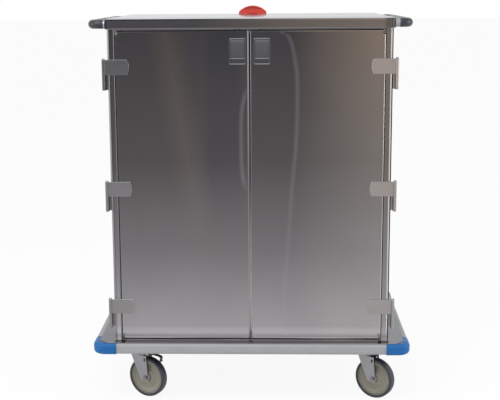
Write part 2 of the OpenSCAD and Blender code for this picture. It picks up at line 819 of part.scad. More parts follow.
// Paddle that turns on the pin, with its lower edge turned in
module latch_paddle() {
    w = open_w - 2 * paddle_gap;
    z0 = paddle_pin_z + paddle_barrel_r - paddle_h;
    y0 = front_y + paddle_in;
    color([0.58, 0.58, 0.59]) difference() {
        union() {
            span([latch_x - w / 2, y0, z0], [latch_x + w / 2, y0 + paddle_t, paddle_pin_z]);
            span([latch_x - w / 2, y0, z0], [latch_x + w / 2, y0 + paddle_lip, z0 + paddle_lip_t]);
            translate([latch_x - w / 2, paddle_pin_y, paddle_pin_z]) rotate([0, 90, 0])
                cylinder(r = paddle_barrel_r, h = w);
        }
        translate([latch_x - w / 2 - past, paddle_pin_y, paddle_pin_z]) rotate([0, 90, 0])
            cylinder(r = paddle_pin_r + run, h = w + 2 * past);
    }
}

// Bolt that runs up behind the recess and through the top of the door
module latch_bolt() {
    color([0.70, 0.70, 0.71])
        span([latch_x - bolt_w / 2, bolt_y0, bolt_z0],
             [latch_x + bolt_w / 2, bolt_y0 + bolt_t, door_z1 + bolt_reach]);
}

module left_latch_housing() { on_side(-1) latch_housing(); }
module right_latch_housing() { on_side(1) latch_housing(); }
module left_latch_paddle() { on_side(-1) latch_paddle(); }
module right_latch_paddle() { on_side(1) latch_paddle(); }
module left_latch_bolt() { on_side(-1) latch_bolt(); }
module right_latch_bolt() { on_side(1) latch_bolt(); }

// Foot plate, two knuckles and the pin of the status sign
module sign_bracket() {
    foot_x = 24;
    foot_w = 12;
    color([0.66, 0.66, 0.67]) {
        span([-foot_x, sign_pin_y - foot_w / 3, crown_z],
             [foot_x, sign_pin_y + foot_w * 2 / 3, crown_z + sign_plate_t]);
        for (x = [-sign_mid - sign_side_w, sign_mid]) {
            translate([x, sign_pin_y, sign_pin_z]) rotate([0, 90, 0])
                cylinder(r = sign_knuckle_r, h = sign_side_w);
            span([x, sign_pin_y - sign_knuckle_r, crown_z + sign_plate_t / 2],
                 [x + sign_side_w, sign_pin_y + sign_knuckle_r, sign_pin_z]);
        }
        translate([-sign_mid - sign_side_w, sign_pin_y, sign_pin_z]) rotate([0, 90, 0])
            cylinder(r = sign_pin_r, h = 2 * (sign_mid + sign_side_w));
    }
}

// Domed status sign with its knuckle between the bracket's
module status_sign() {
    rise = sign_h - sign_side;
    dome_r = (pow(sign_w / 2, 2) + rise * rise) / (2 * rise);
    y0 = sign_pin_y - sign_fwd - sign_t;
    z0 = crown_z + seat;
    hw = sign_mid - seat;
    color([0.84, 0.24, 0.20]) difference() {
        union() {
            intersection() {
                span([-sign_w / 2, y0, z0], [sign_w / 2, y0 + sign_t, z0 + sign_h]);
                translate([0, y0 - past, z0 + sign_h - dome_r]) rotate([-90, 0, 0])
                    cylinder(r = dome_r, h = sign_t + 2 * past, $fn = 96);
            }
            span([-hw, y0 + sign_t / 2, sign_pin_z - sign_knuckle_r],
                 [hw, sign_pin_y, sign_pin_z + sign_knuckle_r]);
            translate([-hw, sign_pin_y, sign_pin_z]) rotate([0, 90, 0])
                cylinder(r = sign_knuckle_r, h = 2 * hw);
        }
        translate([-hw - past, sign_pin_y, sign_pin_z]) rotate([0, 90, 0])
            cylinder(r = sign_pin_r + run, h = 2 * (hw + past));
    }
}

// Places a piece drawn in the caster's own frame
module at_caster(c) {
    translate([c[0] * caster_x, c[1] * caster_y, 0]) rotate(c[2]) children();
}

// Outline of a yoke leg in the plane of the wheel, with its upper corner cut down by cheek_h
module leg_outline(cheek_h) {
    waist_x = -6;
    waist_h = 54;
    foot_r = 18;
    toe_x = trail + 9;
    toe_r = 3.5;
    neck_x = 12;
    cheek_x = 20;
    polygon(concat([[bridge_x0, crown_top_z], [waist_x, axle_z + waist_h]],
                   arc(trail - foot_r / 1.8, axle_z + foot_r / 3, foot_r, 190, 262, 6),
                   [[toe_x, axle_z - 0.75 * foot_r]],
                   arc(toe_x, axle_z - 0.75 * foot_r + toe_r, toe_r, -60, 0, 3),
                   [[bridge_x1, crown_top_z - cheek_h], [cheek_x, crown_top_z - cheek_h],
                    [neck_x, crown_top_z - bridge_t], [neck_x, crown_top_z]]));
}

// Yoke: a crown on the king pin and two legs, with lugs for a pedal where it has one
module yoke(c, braked) {
    cheek_h = 19.5;
    slot_x = trail - 3;
    slot_z = crown_top_z - 35;
    slot_r = 3.5;
    slot_half = 3;
    color([0.60, 0.60, 0.62]) at_caster(c) difference() {
        union() {
            translate([0, 0, crown_low_z]) cylinder(r = crown_disc_r, h = crown_disc_t);
            span([bridge_x0, -leg_out, crown_top_z - bridge_t], [bridge_x1, leg_out, crown_top_z]);
            for (leg = [[-leg_in, cheek_h], [leg_out, bridge_t / 2]]) translate([0, leg[0], 0])
                rotate([90, 0, 0]) linear_extrude(height = leg_t) leg_outline(leg[1]);
            if (braked) {
                for (y = [-lug_in - lug_t, lug_in]) {
                    translate([lug_x, y, lug_z]) rotate([-90, 0, 0]) cylinder(r = lug_r, h = lug_t);
                    span([lug_x - lug_r, y, lug_z], [lug_x + lug_r, y + lug_t, crown_top_z]);
                }
                translate([lug_x, -lug_in - lug_t, lug_z]) rotate([-90, 0, 0])
                    cylinder(r = lug_pin_r, h = 2 * (lug_in + lug_t));
            }
        }
        translate([0, 0, crown_low_z - past]) cylinder(r = king_r + run, h = crown_disc_t + 2 * past);
        translate([trail, -leg_out - past, axle_z]) rotate([-90, 0, 0])
            cylinder(r = axle_r + run, h = 2 * (leg_out + past));
        for (z = [-slot_half, slot_half]) translate([slot_x, -leg_out - past, slot_z + z])
            rotate([-90, 0, 0]) cylinder(r = slot_r, h = 2 * (leg_out + past));
        span([slot_x - slot_r, -leg_out - past, slot_z - slot_half],
             [slot_x + slot_r, leg_out + past, slot_z + slot_half]);
    }
}

module fl_yoke() { yoke(FL, true); }
module fr_yoke() { yoke(FR, false); }
module rl_yoke() { yoke(RL, false); }
module rr_yoke() { yoke(RR, true); }

// Axle bolt and nut, and the sleeve that they clamp between the legs
module axle(c) {
    head_h = 6;
    head_r = axle_r * 1.5;
    color([0.70, 0.71, 0.72]) at_caster(c) translate([trail, 0, axle_z]) rotate([-90, 0, 0]) {
        translate([0, 0, -leg_out - past]) cylinder(r = axle_r, h = 2 * (leg_out + past));
        for (z = [-leg_out - head_h, leg_out]) translate([0, 0, z])
            cylinder(r = head_r, h = head_h, $fn = 6);
        difference() {
            translate([0, 0, -leg_in + snug]) cylinder(r = sleeve_r, h = 2 * (leg_in - snug));
            translate([0, 0, -leg_in - past]) cylinder(r = axle_r + run, h = 2 * (leg_in + past));
        }
    }
}

module fl_axle() { axle(FL); }
module fr_axle() { axle(FR); }
module rl_axle() { axle(RL); }
module rr_axle() { axle(RR); }

// Moulded wheel core: hub, dished web and rim
module wheel_core(c) {
    rim_half = wheel_w / 2 - tread_lip;
    hub_r = 17;
    web_half = 6;
    half = [[sleeve_r + run, hub_half], [hub_r, hub_half], [hub_r + 10, web_half + 1.5],
            [core_r - 12.5, web_half], [core_r - 8.5, rim_half - 1], [core_r - 6.5, rim_half],
            [core_r, rim_half]];
    color([0.53, 0.52, 0.47]) at_caster(c) translate([trail, 0, axle_z]) rotate([-90, 0, 0])
        rotate_extrude() polygon(concat(half, [for (k = [len(half) - 1:-1:0]) [half[k][0], -half[k][1]]]));
}

module fl_wheel_core() { wheel_core(FL); }
module fr_wheel_core() { wheel_core(FR); }
module rl_wheel_core() { wheel_core(RL); }
module rr_wheel_core() { wheel_core(RR); }

// Tyre with rounded shoulders and a low crown
module wheel_tread(c) {
    w = wheel_w / 2;
    r = wheel_d / 2;
    s = min(5, tread_t - 1.5);
    crown = 0.4;
    color([0.28, 0.29, 0.32]) at_caster(c) translate([trail, 0, axle_z]) rotate([-90, 0, 0])
        rotate_extrude()
            polygon(concat([[core_r, -w + tread_lip], [core_r + 1, -w]],
                           arc(r - s - crown, -w + s, s, -90, -8), [[r, 0]],
                           arc(r - s - crown, w - s, s, 8, 90),
                           [[core_r + 1, w], [core_r, w - tread_lip]]));
}

module fl_wheel_tread() { wheel_tread(FL); }
module fr_wheel_tread() { wheel_tread(FR); }
module rl_wheel_tread() { wheel_tread(RL); }
module rr_wheel_tread() { wheel_tread(RR); }

// Brake pedal: a hub with its shoe between the yoke's lugs, a slim arm and a hooked toe
module brake_pedal(c) {
    arm_w = 12;
    hub_r = 6.4;
    toe_w = 18;
    toe_r = 4;
    toe_at = [54, -24];
    hub_l = 2 * (lug_in - seat);
    shoe_gap = 3.5;
    shoe_z = wheel_d + shoe_gap - lug_z;
    color([0.08, 0.08, 0.09]) at_caster(c) translate([lug_x, 0, lug_z]) rotate([90, 0, 0])
    difference() {
        union() {
            translate([0, 0, -hub_l / 2]) cylinder(r = hub_r, h = hub_l);
            translate([0, 0, -arm_w / 2]) linear_extrude(height = arm_w)
                polygon([[0, 5.5], [48, -1], [56, -3.5], [60, -8], [58, -25], [52, -25],
                         [54, -10], [51, -7.5], [46, -6], [0, -1]]);
            translate([0, 0, -hub_l / 2]) linear_extrude(height = hub_l)
                polygon([[-6, 0], [-5.5, shoe_z], [7, shoe_z], [9, -3], [6, 0]]);
            translate([toe_at[0], toe_at[1], -toe_w / 2]) cylinder(r = toe_r, h = toe_w);
        }
        translate([0, 0, -hub_l / 2 - past]) cylinder(r = lug_pin_r + run, h = hub_l + 2 * past);
    }
}

module fl_brake_pedal() { brake_pedal(FL); }
module rr_brake_pedal() { brake_pedal(RR); }

caster_plates();
caster_bolts();
base_frame();
base_deck();
bumper_rail_front();
bumper_rail_rear();
bumper_rail_left();
bumper_rail_right();
corner_bumpers();
left_side_panel();
right_side_panel();
back_panel();
roof_cap();
left_front_stile();
right_front_stile();
header();
sill();
corner_pads();
shelf_standards();
shelf_clips();
shelf_lower();
shelf_upper();
left_handle_tube();
right_handle_tube();
left_handle_grip();
right_handle_grip();
hinge_brackets();
hinge_pins();
sign_bracket();
status_sign();
left_door_skin();
right_door_skin();
left_door_liner();
right_door_liner();
left_hinge_leaves();
right_hinge_leaves();
left_latch_housing();
right_latch_housing();
left_latch_paddle();
right_latch_paddle();
left_latch_bolt();
right_latch_bolt();
fl_yoke();
fr_yoke();
rl_yoke();
rr_yoke();
fl_axle();
fr_axle();
rl_axle();
rr_axle();
fl_wheel_core();
fr_wheel_core();
rl_wheel_core();
rr_wheel_core();
fl_wheel_tread();
fr_wheel_tread();
rl_wheel_tread();
rr_wheel_tread();
fl_brake_pedal();
rr_brake_pedal();
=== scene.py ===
"""Looks of a closed case cart: finishes, softened sheet edges, moulded and turned pieces, floor and light."""

import json
import math

import bmesh
import bpy
import numpy as np
from mathutils import Matrix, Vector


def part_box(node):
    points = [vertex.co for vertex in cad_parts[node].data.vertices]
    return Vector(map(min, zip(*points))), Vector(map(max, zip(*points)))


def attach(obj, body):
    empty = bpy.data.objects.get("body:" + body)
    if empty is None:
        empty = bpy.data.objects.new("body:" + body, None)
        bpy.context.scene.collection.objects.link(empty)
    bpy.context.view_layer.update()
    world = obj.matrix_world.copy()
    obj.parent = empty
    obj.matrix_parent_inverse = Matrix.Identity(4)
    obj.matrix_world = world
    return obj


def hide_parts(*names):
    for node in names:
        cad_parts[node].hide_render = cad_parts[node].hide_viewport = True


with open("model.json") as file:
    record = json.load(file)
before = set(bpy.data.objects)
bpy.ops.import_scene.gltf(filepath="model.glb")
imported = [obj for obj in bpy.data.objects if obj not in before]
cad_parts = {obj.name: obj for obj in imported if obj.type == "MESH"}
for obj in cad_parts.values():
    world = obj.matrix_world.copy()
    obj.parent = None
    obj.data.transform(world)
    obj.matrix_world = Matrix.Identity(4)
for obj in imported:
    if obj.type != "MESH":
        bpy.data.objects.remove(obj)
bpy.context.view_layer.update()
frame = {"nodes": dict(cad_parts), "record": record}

bl_info = {
    "name": "Case cart looks",
    "version": (1, 0, 0),
    "blender": (4, 5, 0),
    "location": "3D View > Sidebar > Case cart",
    "description": "Gives a packed case cart its finishes, soft edges, wheels, grips, floor and light",
    "category": "Object",
}

MM = 0.001
BODY_OF = {n: b for b, members in frame["record"]["behaviour"]["bodies"].items() for n in members}


def box(name):
    """Lowest and highest corner of a CAD node as two arrays, in metres."""
    return [np.array(p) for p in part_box(name)]


ROOF, DOOR, STILE = box("roof_cap"), box("right_door_skin"), box("right_front_stile")
GRIP, RAIL = box("right_handle_grip"), box("bumper_rail_front")
CORNERS, DECK, SIGN = box("corner_bumpers"), box("base_deck"), box("status_sign")
FRAME_BOX, LATCH = box("base_frame"), box("right_latch_housing")

# Values of the CAD source that the boxes don't give, in metres
CAP_R, CAP_H, CROWN_BEVEL, CROWN_INSET = 25 * MM, 37 * MM, 22 * MM, 3 * MM
CAP_T, CAP_FOLD_R, CAP_HEM_R = 1.5 * MM, 2 * MM, 1.2 * MM
# Bands of the top's section that are its lip, and the first band that is its upper side
CAP_LIP_BANDS, CAP_TOP_BAND = 6, 14
RAIL_R, CORNER_R, CORNER_LEG_W, CORNER_LEG_D = 13 * MM, 48 * MM, 93 * MM, 101 * MM
HANDLE_R, HANDLE_BEND, HANDLE_ARM_Y, COLLAR_T, COLLAR_R = 15.9 * MM, 27 * MM, 310 * MM, 3 * MM, 18 * MM
GRIP_SHIFT = {"left": -5 * MM, "right": 5 * MM}
CASTER_X, CASTER_Y, TRAIL = 451 * MM, 278 * MM, 44 * MM
WHEEL_R, WHEEL_HALF, TREAD_T, TREAD_ROUND = 80 * MM, 16 * MM, 11 * MM, 5 * MM
HUB_R, HUB_HALF, SLEEVE_R = 17 * MM, 18.5 * MM, 8.05 * MM
# Height of the sign under its dome; depth under the dome, thickness in millimetres and half angle of each bar
SIGN_FOOT, SIGN_BARS = 8 * MM, ((9 * MM, 2.6, 0.50), (13.5 * MM, 1.6, 0.30))
# Length over which the ends of the rails and of the corner bumpers draw in
RAIL_END, CORNER_END = 0.8 * MM, 1 * MM
# Side, end and rest angle of each caster
CASTERS = {"fl": (-1, -1, -26), "fr": (1, -1, -33), "rl": (-1, 1, -24), "rr": (1, 1, -35)}

# How near a point lies to a face that it is on, the length that a stile's upright edges exceed, and the share
# of the outer corner's radius that the stile's other front edges get
NEAR, POST_HALF, POST_INNER = 0.1 * MM, 0.5, 0.16
# Radii of small pieces' edges
LATCH_ROUND, PADDLE_ROUND, BOLT_ROUND, AXLE_ROUND = 0.7 * MM, 0.6 * MM, 0.5 * MM, 1.3 * MM
DECK_ROUND, SIGN_ROUND, BRACKET_ROUND = 0.6 * MM, 0.7 * MM, 0.5 * MM
# Angles in degrees past which an edge of a CAD sheet is sharp, and at which its flat triangles are merged
SHEET_SHARP, SHEET_FLAT = 30, 0.6
# Distances at which the points of new surfaces and of CAD nodes are merged
WELD, CAD_WELD = 1e-6, 2e-6

# Camera: place, then its turns in degrees to the right, down and about its own line, and the frame's shift
CAMERA_PLACE, CAMERA_TURNS = (0.0865, -4.3273, 1.5831), (-1.968, 10.475, -0.428)
CAMERA_SHIFT, SENSOR_WIDTH = (0.0259, -0.0221), 36
# Place and side of each square lamp, and the point that all of them face
LAMPS = {"key": ((-1.2, -2.2, 3.6), 2.6), "left": ((-3.4, -1.4, 1.6), 1.8), "right": ((3.4, -1.0, 1.6), 1.8)}
LAMP_AIM = (0, 0, 0.75)
FLOOR_HALF, FLOOR_GREY = 60.0, 0.92


# ---------------------------------------------------------------- values that a user would change


def colour_value(name, text, rgb):
    """A colour property."""
    return bpy.props.FloatVectorProperty(
        name=name, description=text, subtype="COLOR", size=3, default=rgb, min=0, max=1)


def radius_value(name, text, size):
    """A property for the radius of an edge, in metres."""
    return bpy.props.FloatProperty(
        name=name, description=text, default=size, min=0, unit="LENGTH", subtype="DISTANCE")


class CartFinishes(bpy.types.PropertyGroup):
    """Colours and gloss of the cart's surfaces."""

    steel_rough: bpy.props.FloatProperty(
        name="Steel roughness", description="Roughness of the satin sheet steel",
        default=0.33, min=0.1, max=0.8)
    brush_depth: bpy.props.FloatProperty(
        name="Brushing", description="Strength of the fine brushed lines in the steel",
        default=0.07, min=0, max=1)
    bumper_grey: colour_value("Bumper rails", "Colour of the grey bumper rails", (0.335, 0.34, 0.352))
    bumper_blue: colour_value("Bumper corners", "Colour of the blue corner bumpers", (0.008, 0.122, 0.37))
    grip: colour_value("Grips", "Colour of the handle grips", (0.019, 0.023, 0.034))
    tread: colour_value("Treads", "Colour of the wheel treads", (0.030, 0.034, 0.048))
    core: colour_value("Wheel cores", "Colour of the moulded wheel cores", (0.24, 0.225, 0.18))
    sign: colour_value("Status sign", "Colour of the status sign", (0.68, 0.050, 0.034))


class CartEdges(bpy.types.PropertyGroup):
    """Radii of folded, cut and cast edges."""

    door: radius_value("Door edge", "Radius of the folded edge round a door", 4 * MM)
    sheet: radius_value("Sheet edge", "Radius of the other sheets' folds", 1.2 * MM)
    post: radius_value("Stile corner", "Radius of a front stile's outer corner", 6 * MM)
    cast: radius_value("Caster edge", "Radius of the pressed edges of the casters", 0.8 * MM)


class CartStage(bpy.types.PropertyGroup):
    """Camera, lamps and floor."""

    lens: bpy.props.FloatProperty(
        name="Lens", description="Focal length of the camera", default=76.74, min=1, unit="CAMERA")
    fill: bpy.props.FloatProperty(
        name="Fill", description="Brightness of the surroundings on matt surfaces", default=0.62, min=0)
    floor_white: bpy.props.FloatProperty(
        name="Floor white", description="Share of the floor that shines instead of taking light and shadow",
        default=0.92, min=0, max=1, subtype="FACTOR")
    key: bpy.props.FloatProperty(
        name="Key lamp", description="Power of the large lamp above", default=70, min=0, unit="POWER")
    left: bpy.props.FloatProperty(
        name="Left lamp", description="Power of the lamp at the left", default=17, min=0, unit="POWER")
    right: bpy.props.FloatProperty(
        name="Right lamp", description="Power of the lamp at the right", default=36, min=0, unit="POWER")


# ---------------------------------------------------------------- materials


def linear(rgb):
    """Linear colour of an 8-bit screen colour."""
    c = np.array(rgb, float) / 255
    c = np.where(c <= 0.04045, c / 12.92, ((c + 0.055) / 1.055) ** 2.4)
    return (*c, 1.0)


class Finish:
    """A material under construction: nodes are made by type and linked as they are made."""

    def __init__(self, name):
        self.mat = bpy.data.materials.new(name)
        self.mat.use_nodes = True
        self.nodes, self.links = self.mat.node_tree.nodes, self.mat.node_tree.links
        self.shader = self.nodes["Principled BSDF"]
        self.place = self.add("ShaderNodeTexCoord").outputs["Object"]

    def add(self, kind, inputs=(), **settings):
        """A node with its settings, and its inputs given as values or as sockets to link."""
        n = self.nodes.new(kind)
        for key, value in settings.items():
            setattr(n, key, value)
        for key, value in dict(inputs).items():
            self.put(n.inputs[key], value)
        return n

    def put(self, socket, value):
        """Links the value where it is a socket, or sets it."""
        if isinstance(value, bpy.types.NodeSocket):
            self.links.new(value, socket)
        else:
            socket.default_value = value

    def set(self, **values):
        """Values or links for the shader's sockets, named with _ for a space."""
        for key, value in values.items():
            self.put(self.shader.inputs[key.replace("_", " ")], value)

    def noise(self, scale, detail, stretch=(1, 1, 1)):
        """Noise between 0 and 1 on Object coordinates, scale in lumps per metre, stretched by axis."""
        m = self.add("ShaderNodeMapping", {"Vector": self.place, "Scale": [scale * s for s in stretch]})
        n = self.add("ShaderNodeTexNoise", {"Vector": m.outputs[0], "Scale": 1.0, "Detail": detail})
        return n.outputs[0]

    def spread(self, value, low, high, start=0.3, end=0.7):
        """Value between start and end spread over low to high."""
        return self.add("ShaderNodeMapRange", {"Value": value, "From Min": start, "From Max": end,
                                               "To Min": low, "To Max": high}).outputs[0]

    def axis(self, name):
        """One of the Object coordinates."""
        return self.add("ShaderNodeSeparateXYZ", {0: self.place}).outputs[name]

    def band(self, value, low, high, soft=0.4 * MM):
        """1 between low and high, falling to 0 over soft beyond each."""
        up, down = self.spread(value, 0, 1, low - soft, low), self.spread(value, 1, 0, high, high + soft)
        return self.times(up, down)

    def times(self, a, b):
        """Product of two numbers."""
        return self.add("ShaderNodeMath", {0: a, 1: b}, operation="MULTIPLY").outputs[0]

    def beside(self, value, height, course):
        """How far value lies beside a smooth course, given as pairs of height and value."""
        heights, places = zip(*course)
        low, high = min(places), max(places)
        f = self.spread(height, 0, 1, heights[0], heights[-1])
        n = self.add("ShaderNodeFloatCurve", {"Factor": 1.0, "Value": f})
        curve = n.mapping.curves[0]
        while len(curve.points) < len(course):
            curve.points.new(0.5, 0.5)
        for point, z, at in zip(curve.points, heights, places):
            point.location = ((z - heights[0]) / (heights[-1] - heights[0]), (at - low) / (high - low))
        n.mapping.update()
        return self.add("ShaderNodeMath", {0: value, 1: self.spread(n.outputs[0], low, high, 0, 1)},
                        operation="SUBTRACT").outputs[0]

    def ramp(self, value, stops):
        """Colour that runs through the stops, each a place on value and an 8-bit colour."""
        first, last = stops[0][0], stops[-1][0]
        f = self.spread(value, 0, 1, first, last)
        r = self.add("ShaderNodeValToRGB", {"Fac": f})
        points = r.color_ramp.elements
        points.remove(points[1])
        points[0].position, points[0].color = 0, linear(stops[0][1])
        for at, rgb in stops[1:]:
            points.new((at - first) / (last - first)).color = linear(rgb)
        return r.outputs[0]

    def mix(self, factor, a, b, kind="MIX"):
        """Blend of two colours."""
        n = self.add("ShaderNodeMix", data_type="RGBA", blend_type=kind)
        self.put(n.inputs["Factor"], factor)
        self.put(n.inputs[6], a)
        self.put(n.inputs[7], b)
        return n.outputs[2]

    def tint(self, colour, noise, depth):
        """Colour made lighter and darker by noise, by depth either way."""
        v = self.spread(noise, 1 - depth, 1 + depth)
        return self.add("ShaderNodeVectorMath", {0: colour, 1: v}, operation="MULTIPLY").outputs[0]

    def bump(self, height, strength, distance):
        """Normal from a height, strength 0 to 1 of distance in metres."""
        n = self.add("ShaderNodeBump", {"Height": height, "Strength": strength, "Distance": distance})
        self.set(Normal=n.outputs[0])


# Stretch of the brushing's noise by axis: it is drawn out along the axes that have the small number
UPRIGHT, LEVEL, PLANE, SHORT, EVEN = (1, 1, 0.02), (0.02, 1, 1), (0.02, 0.02, 1), (0.05, 1, 1), (1, 1, 1)
# Lumps per metre of the brushing and of the steel's clouds, depth of the brushing at full strength
BRUSH_SCALE, CLOUD_SCALE, BRUSH_DEPTH, METALLIC = 1400, 5, 0.1 * MM, 0.92
# Lumps per metre of a moulded surface's clouds, and depth of its skin at full strength
SOFT_CLOUD, SKIN_DEPTH = 14, 0.2 * MM


def steel(name, stops, warm_reflection=None, grain=UPRIGHT, rough=None, depth=0.03, bands=(), sheens=(), brush=1.0):
    """Satin sheet steel. stops give its colour by height in metres: a painted reflection, lighter near the
    floor, on the doors, walls and hinges, painted highlight and shade lines on the top's side and the
    latches, and one colour elsewhere. warm_reflection is (x from, x to, stops), a warmer painted reflection
    on one side. sheens are painted soft reflections that follow a course in X: half width, fall, course as
    pairs of height and X, linear colour, (from, to, fade) in height, and how the colour is blended. bands are
    strips of painted highlights, shade and
    reflections: axis, from, to, stops and, for soft ones, the fall beside them. The grain is fine noise drawn
    out along the brushing, which also makes the gloss uneven."""
    values = bpy.context.scene.cart_finishes
    f = Finish(name)
    z = f.axis("Z")
    colour = f.ramp(z, stops)
    if warm_reflection:
        share = f.spread(f.axis("X"), 0, 1, warm_reflection[0], warm_reflection[1])
        colour = f.mix(share, colour, f.ramp(z, warm_reflection[2]))
    for wide, soft, course, rgb, (low, high, fade), kind in sheens:
        across = f.band(f.beside(f.axis("X"), z, course), -wide, wide, soft)
        share = f.times(across, f.band(z, low, high, fade))
        colour = f.mix(share, colour, (*rgb, 1), kind)
    for axis, low, high, strip, *soft in bands:
        colour = f.mix(f.band(f.axis(axis), low, high, *soft), colour, f.ramp(z, strip))
    lines, cloud = f.noise(BRUSH_SCALE, 2, grain), f.noise(CLOUD_SCALE, 2)
    colour = f.tint(f.tint(colour, lines, depth), cloud, depth)
    base = values.steel_rough if rough is None else rough
    f.set(Base_Color=colour, Metallic=METALLIC, Roughness=f.spread(lines, base - 0.05, base + 0.06))
    f.bump(lines, values.brush_depth * brush, BRUSH_DEPTH)
    return f.mat


def moulded(name, rgb, rough, scale, skin, clouds, specular=0.5):
    """Moulded or coated surface: a colour made uneven by soft clouds, a fine skin of scale lumps per metre in
    the bump, and uneven gloss."""
    f = Finish(name)
    grain, cloud = f.noise(scale, 3), f.noise(SOFT_CLOUD, 3)
    f.set(Base_Color=f.tint(tuple(rgb), cloud, clouds), Roughness=f.spread(cloud, rough - 0.06, rough + 0.08),
          Specular_IOR_Level=specular)
    f.bump(grain, skin, SKIN_DEPTH)
    return f.mat


# ---------------------------------------------------------------- surfaces


def linked(name, data):
    """An object of that mesh, lamp or camera, in the scene."""
    obj = bpy.data.objects.new(name, data)
    bpy.context.scene.collection.objects.link(obj)
    return obj


def welded(mesh, distance):
    """The mesh in bmesh, with its doubles merged."""
    bm = bmesh.new()
    bm.from_mesh(mesh)
    bmesh.ops.remove_doubles(bm, verts=bm.verts, dist=distance)
    return bm


def stand(mesh, name, body, shade):
    """An object of that mesh on that body, smooth up to the shade angle in degrees."""
    mesh.polygons.foreach_set("use_smooth", np.ones(len(mesh.polygons), bool))
    mesh.set_sharp_from_angle(angle=math.radians(shade))
    obj = linked(name, mesh)
    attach(obj, body)
    return obj


def piece(name, verts, faces, mats, body, shade, indices=None):
    """An object from arrays of points and faces, closed and turned outwards. mats are its finishes' names,
    set apart by spaces, and indices say each face's material."""
    mesh = bpy.data.meshes.new(name)
    mesh.from_pydata(np.asarray(verts).reshape(-1, 3).tolist(), [], [list(map(int, f)) for f in faces])
    for m in mats.split():
        mesh.materials.append(finish(m))
    if indices is not None:
        mesh.polygons.foreach_set("material_index", np.asarray(indices, np.int32))
    bm = welded(mesh, WELD)
    bmesh.ops.recalc_face_normals(bm, faces=bm.faces)
    bm.to_mesh(mesh)
    bm.free()
    return stand(mesh, name, body, shade)


def grid_faces(rows, cols):
    """Quads between consecutive rings of a grid of points, each ring joined to its own start."""
    r, c = np.meshgrid(np.arange(rows - 1), np.arange(cols), indexing="ij")
    d = (c + 1) % cols
    return np.stack([r * cols + c, r * cols + d, (r + 1) * cols + d, (r + 1) * cols + c], -1).reshape(-1, 4)


def seam_faces(rows, cols):
    """Quads that join the last ring of a grid of points to the first one."""
    c = np.arange(cols)
    d, last = (c + 1) % cols, (rows - 1) * cols
    return np.stack([c, d, d + last, c + last], -1)


def closed_rings(rings):
    """Points and faces of a stack of rings with a flat face over the first and the last one."""
    rows, cols = rings.shape[:2]
    ends = np.arange(cols)
    faces = [*grid_faces(rows, cols), ends[::-1], ends + (rows - 1) * cols]
    return rings.reshape(-1, 3), faces


def joined(parts):
    """Points and faces of several shells as one."""
    verts, faces, start = [], [], 0
    for v, f in parts:
        verts.append(v)
        faces += [[i + start for i in face] for face in f]
        start += len(v)
    return np.concatenate(verts), faces


def rounded_rect(w, d, r, inset, n=10):
    """Points of a rectangle w by d with corner radius r, moved in by inset: corner centre plus radius times
    (cos, sin), the radius shrinking with the inset to nearly nothing."""
    a = np.radians(np.concatenate([np.linspace(q, q + 90, n) for q in (0, 90, 180, 270)]))
    s = np.repeat(np.array([[1, 1], [-1, 1], [-1, -1], [1, -1]]), n, 0)
    q = max(r - inset, 0.05 * MM)
    centre = s * (np.array([w, d]) / 2 - inset - q)
    return centre + q * np.stack([np.cos(a), np.sin(a)], -1)


def quarter(cx, cy, r, a0, a1, n=7):
    """Points of an arc about (cx, cy) from angle a0 to a1."""
    a = np.radians(np.linspace(a0, a1, n))
    return np.stack([cx + r * np.cos(a), cy + r * np.sin(a)], -1)


def lathe(profile, n=96):
    """Profile of (radius, height) turned about the Z axis: rows along the profile, n points round."""
    a = np.linspace(0, 2 * np.pi, n, endpoint=False)
    p = np.asarray(profile)
    x, y = p[:, :1] * np.cos(a), p[:, :1] * np.sin(a)
    return np.stack([x, y, np.broadcast_to(p[:, 1:], x.shape)], -1)


def level(plan, z):
    """Points of a plan at one height."""
    return np.column_stack([plan, np.full(len(plan), z)])


def tube(path, radii, n=32):
    """Rings round a path in a level plane: centre + r (cos side + sin up), side being square to the path."""
    t = np.gradient(path, axis=0)
    t /= np.linalg.norm(t, axis=1, keepdims=True)
    side = np.stack([t[:, 1], -t[:, 0], 0 * t[:, 0]], -1)
    a = np.linspace(0, 2 * np.pi, n, endpoint=False)[None, :, None]
    r = np.broadcast_to(np.asarray(radii, float).reshape(-1, 1, 1), (len(path), 1, 1))
    return path[:, None] + r * (np.cos(a) * side[:, None] + np.sin(a) * np.array([0, 0, 1.0]))


def at_caster(points, which):
    """Points of a caster's own frame, X from swivel axis to axle, in the row frame."""
    sx, sy, angle = CASTERS[which]
    c, s = math.cos(math.radians(angle)), math.sin(math.radians(angle))
    p = np.asarray(points)
    x = sx * CASTER_X + p[..., 0] * c - p[..., 1] * s
    y = sy * CASTER_Y + p[..., 0] * s + p[..., 1] * c
    return np.stack([x, y, p[..., 2]], -1)


def at_axle(points, which):
    """Points of a wheel turned about Z, laid on the caster's axle."""
    p = np.asarray(points)
    return at_caster(np.stack([p[..., 0] + TRAIL, p[..., 2], -p[..., 1] + WHEEL_R], -1), which)


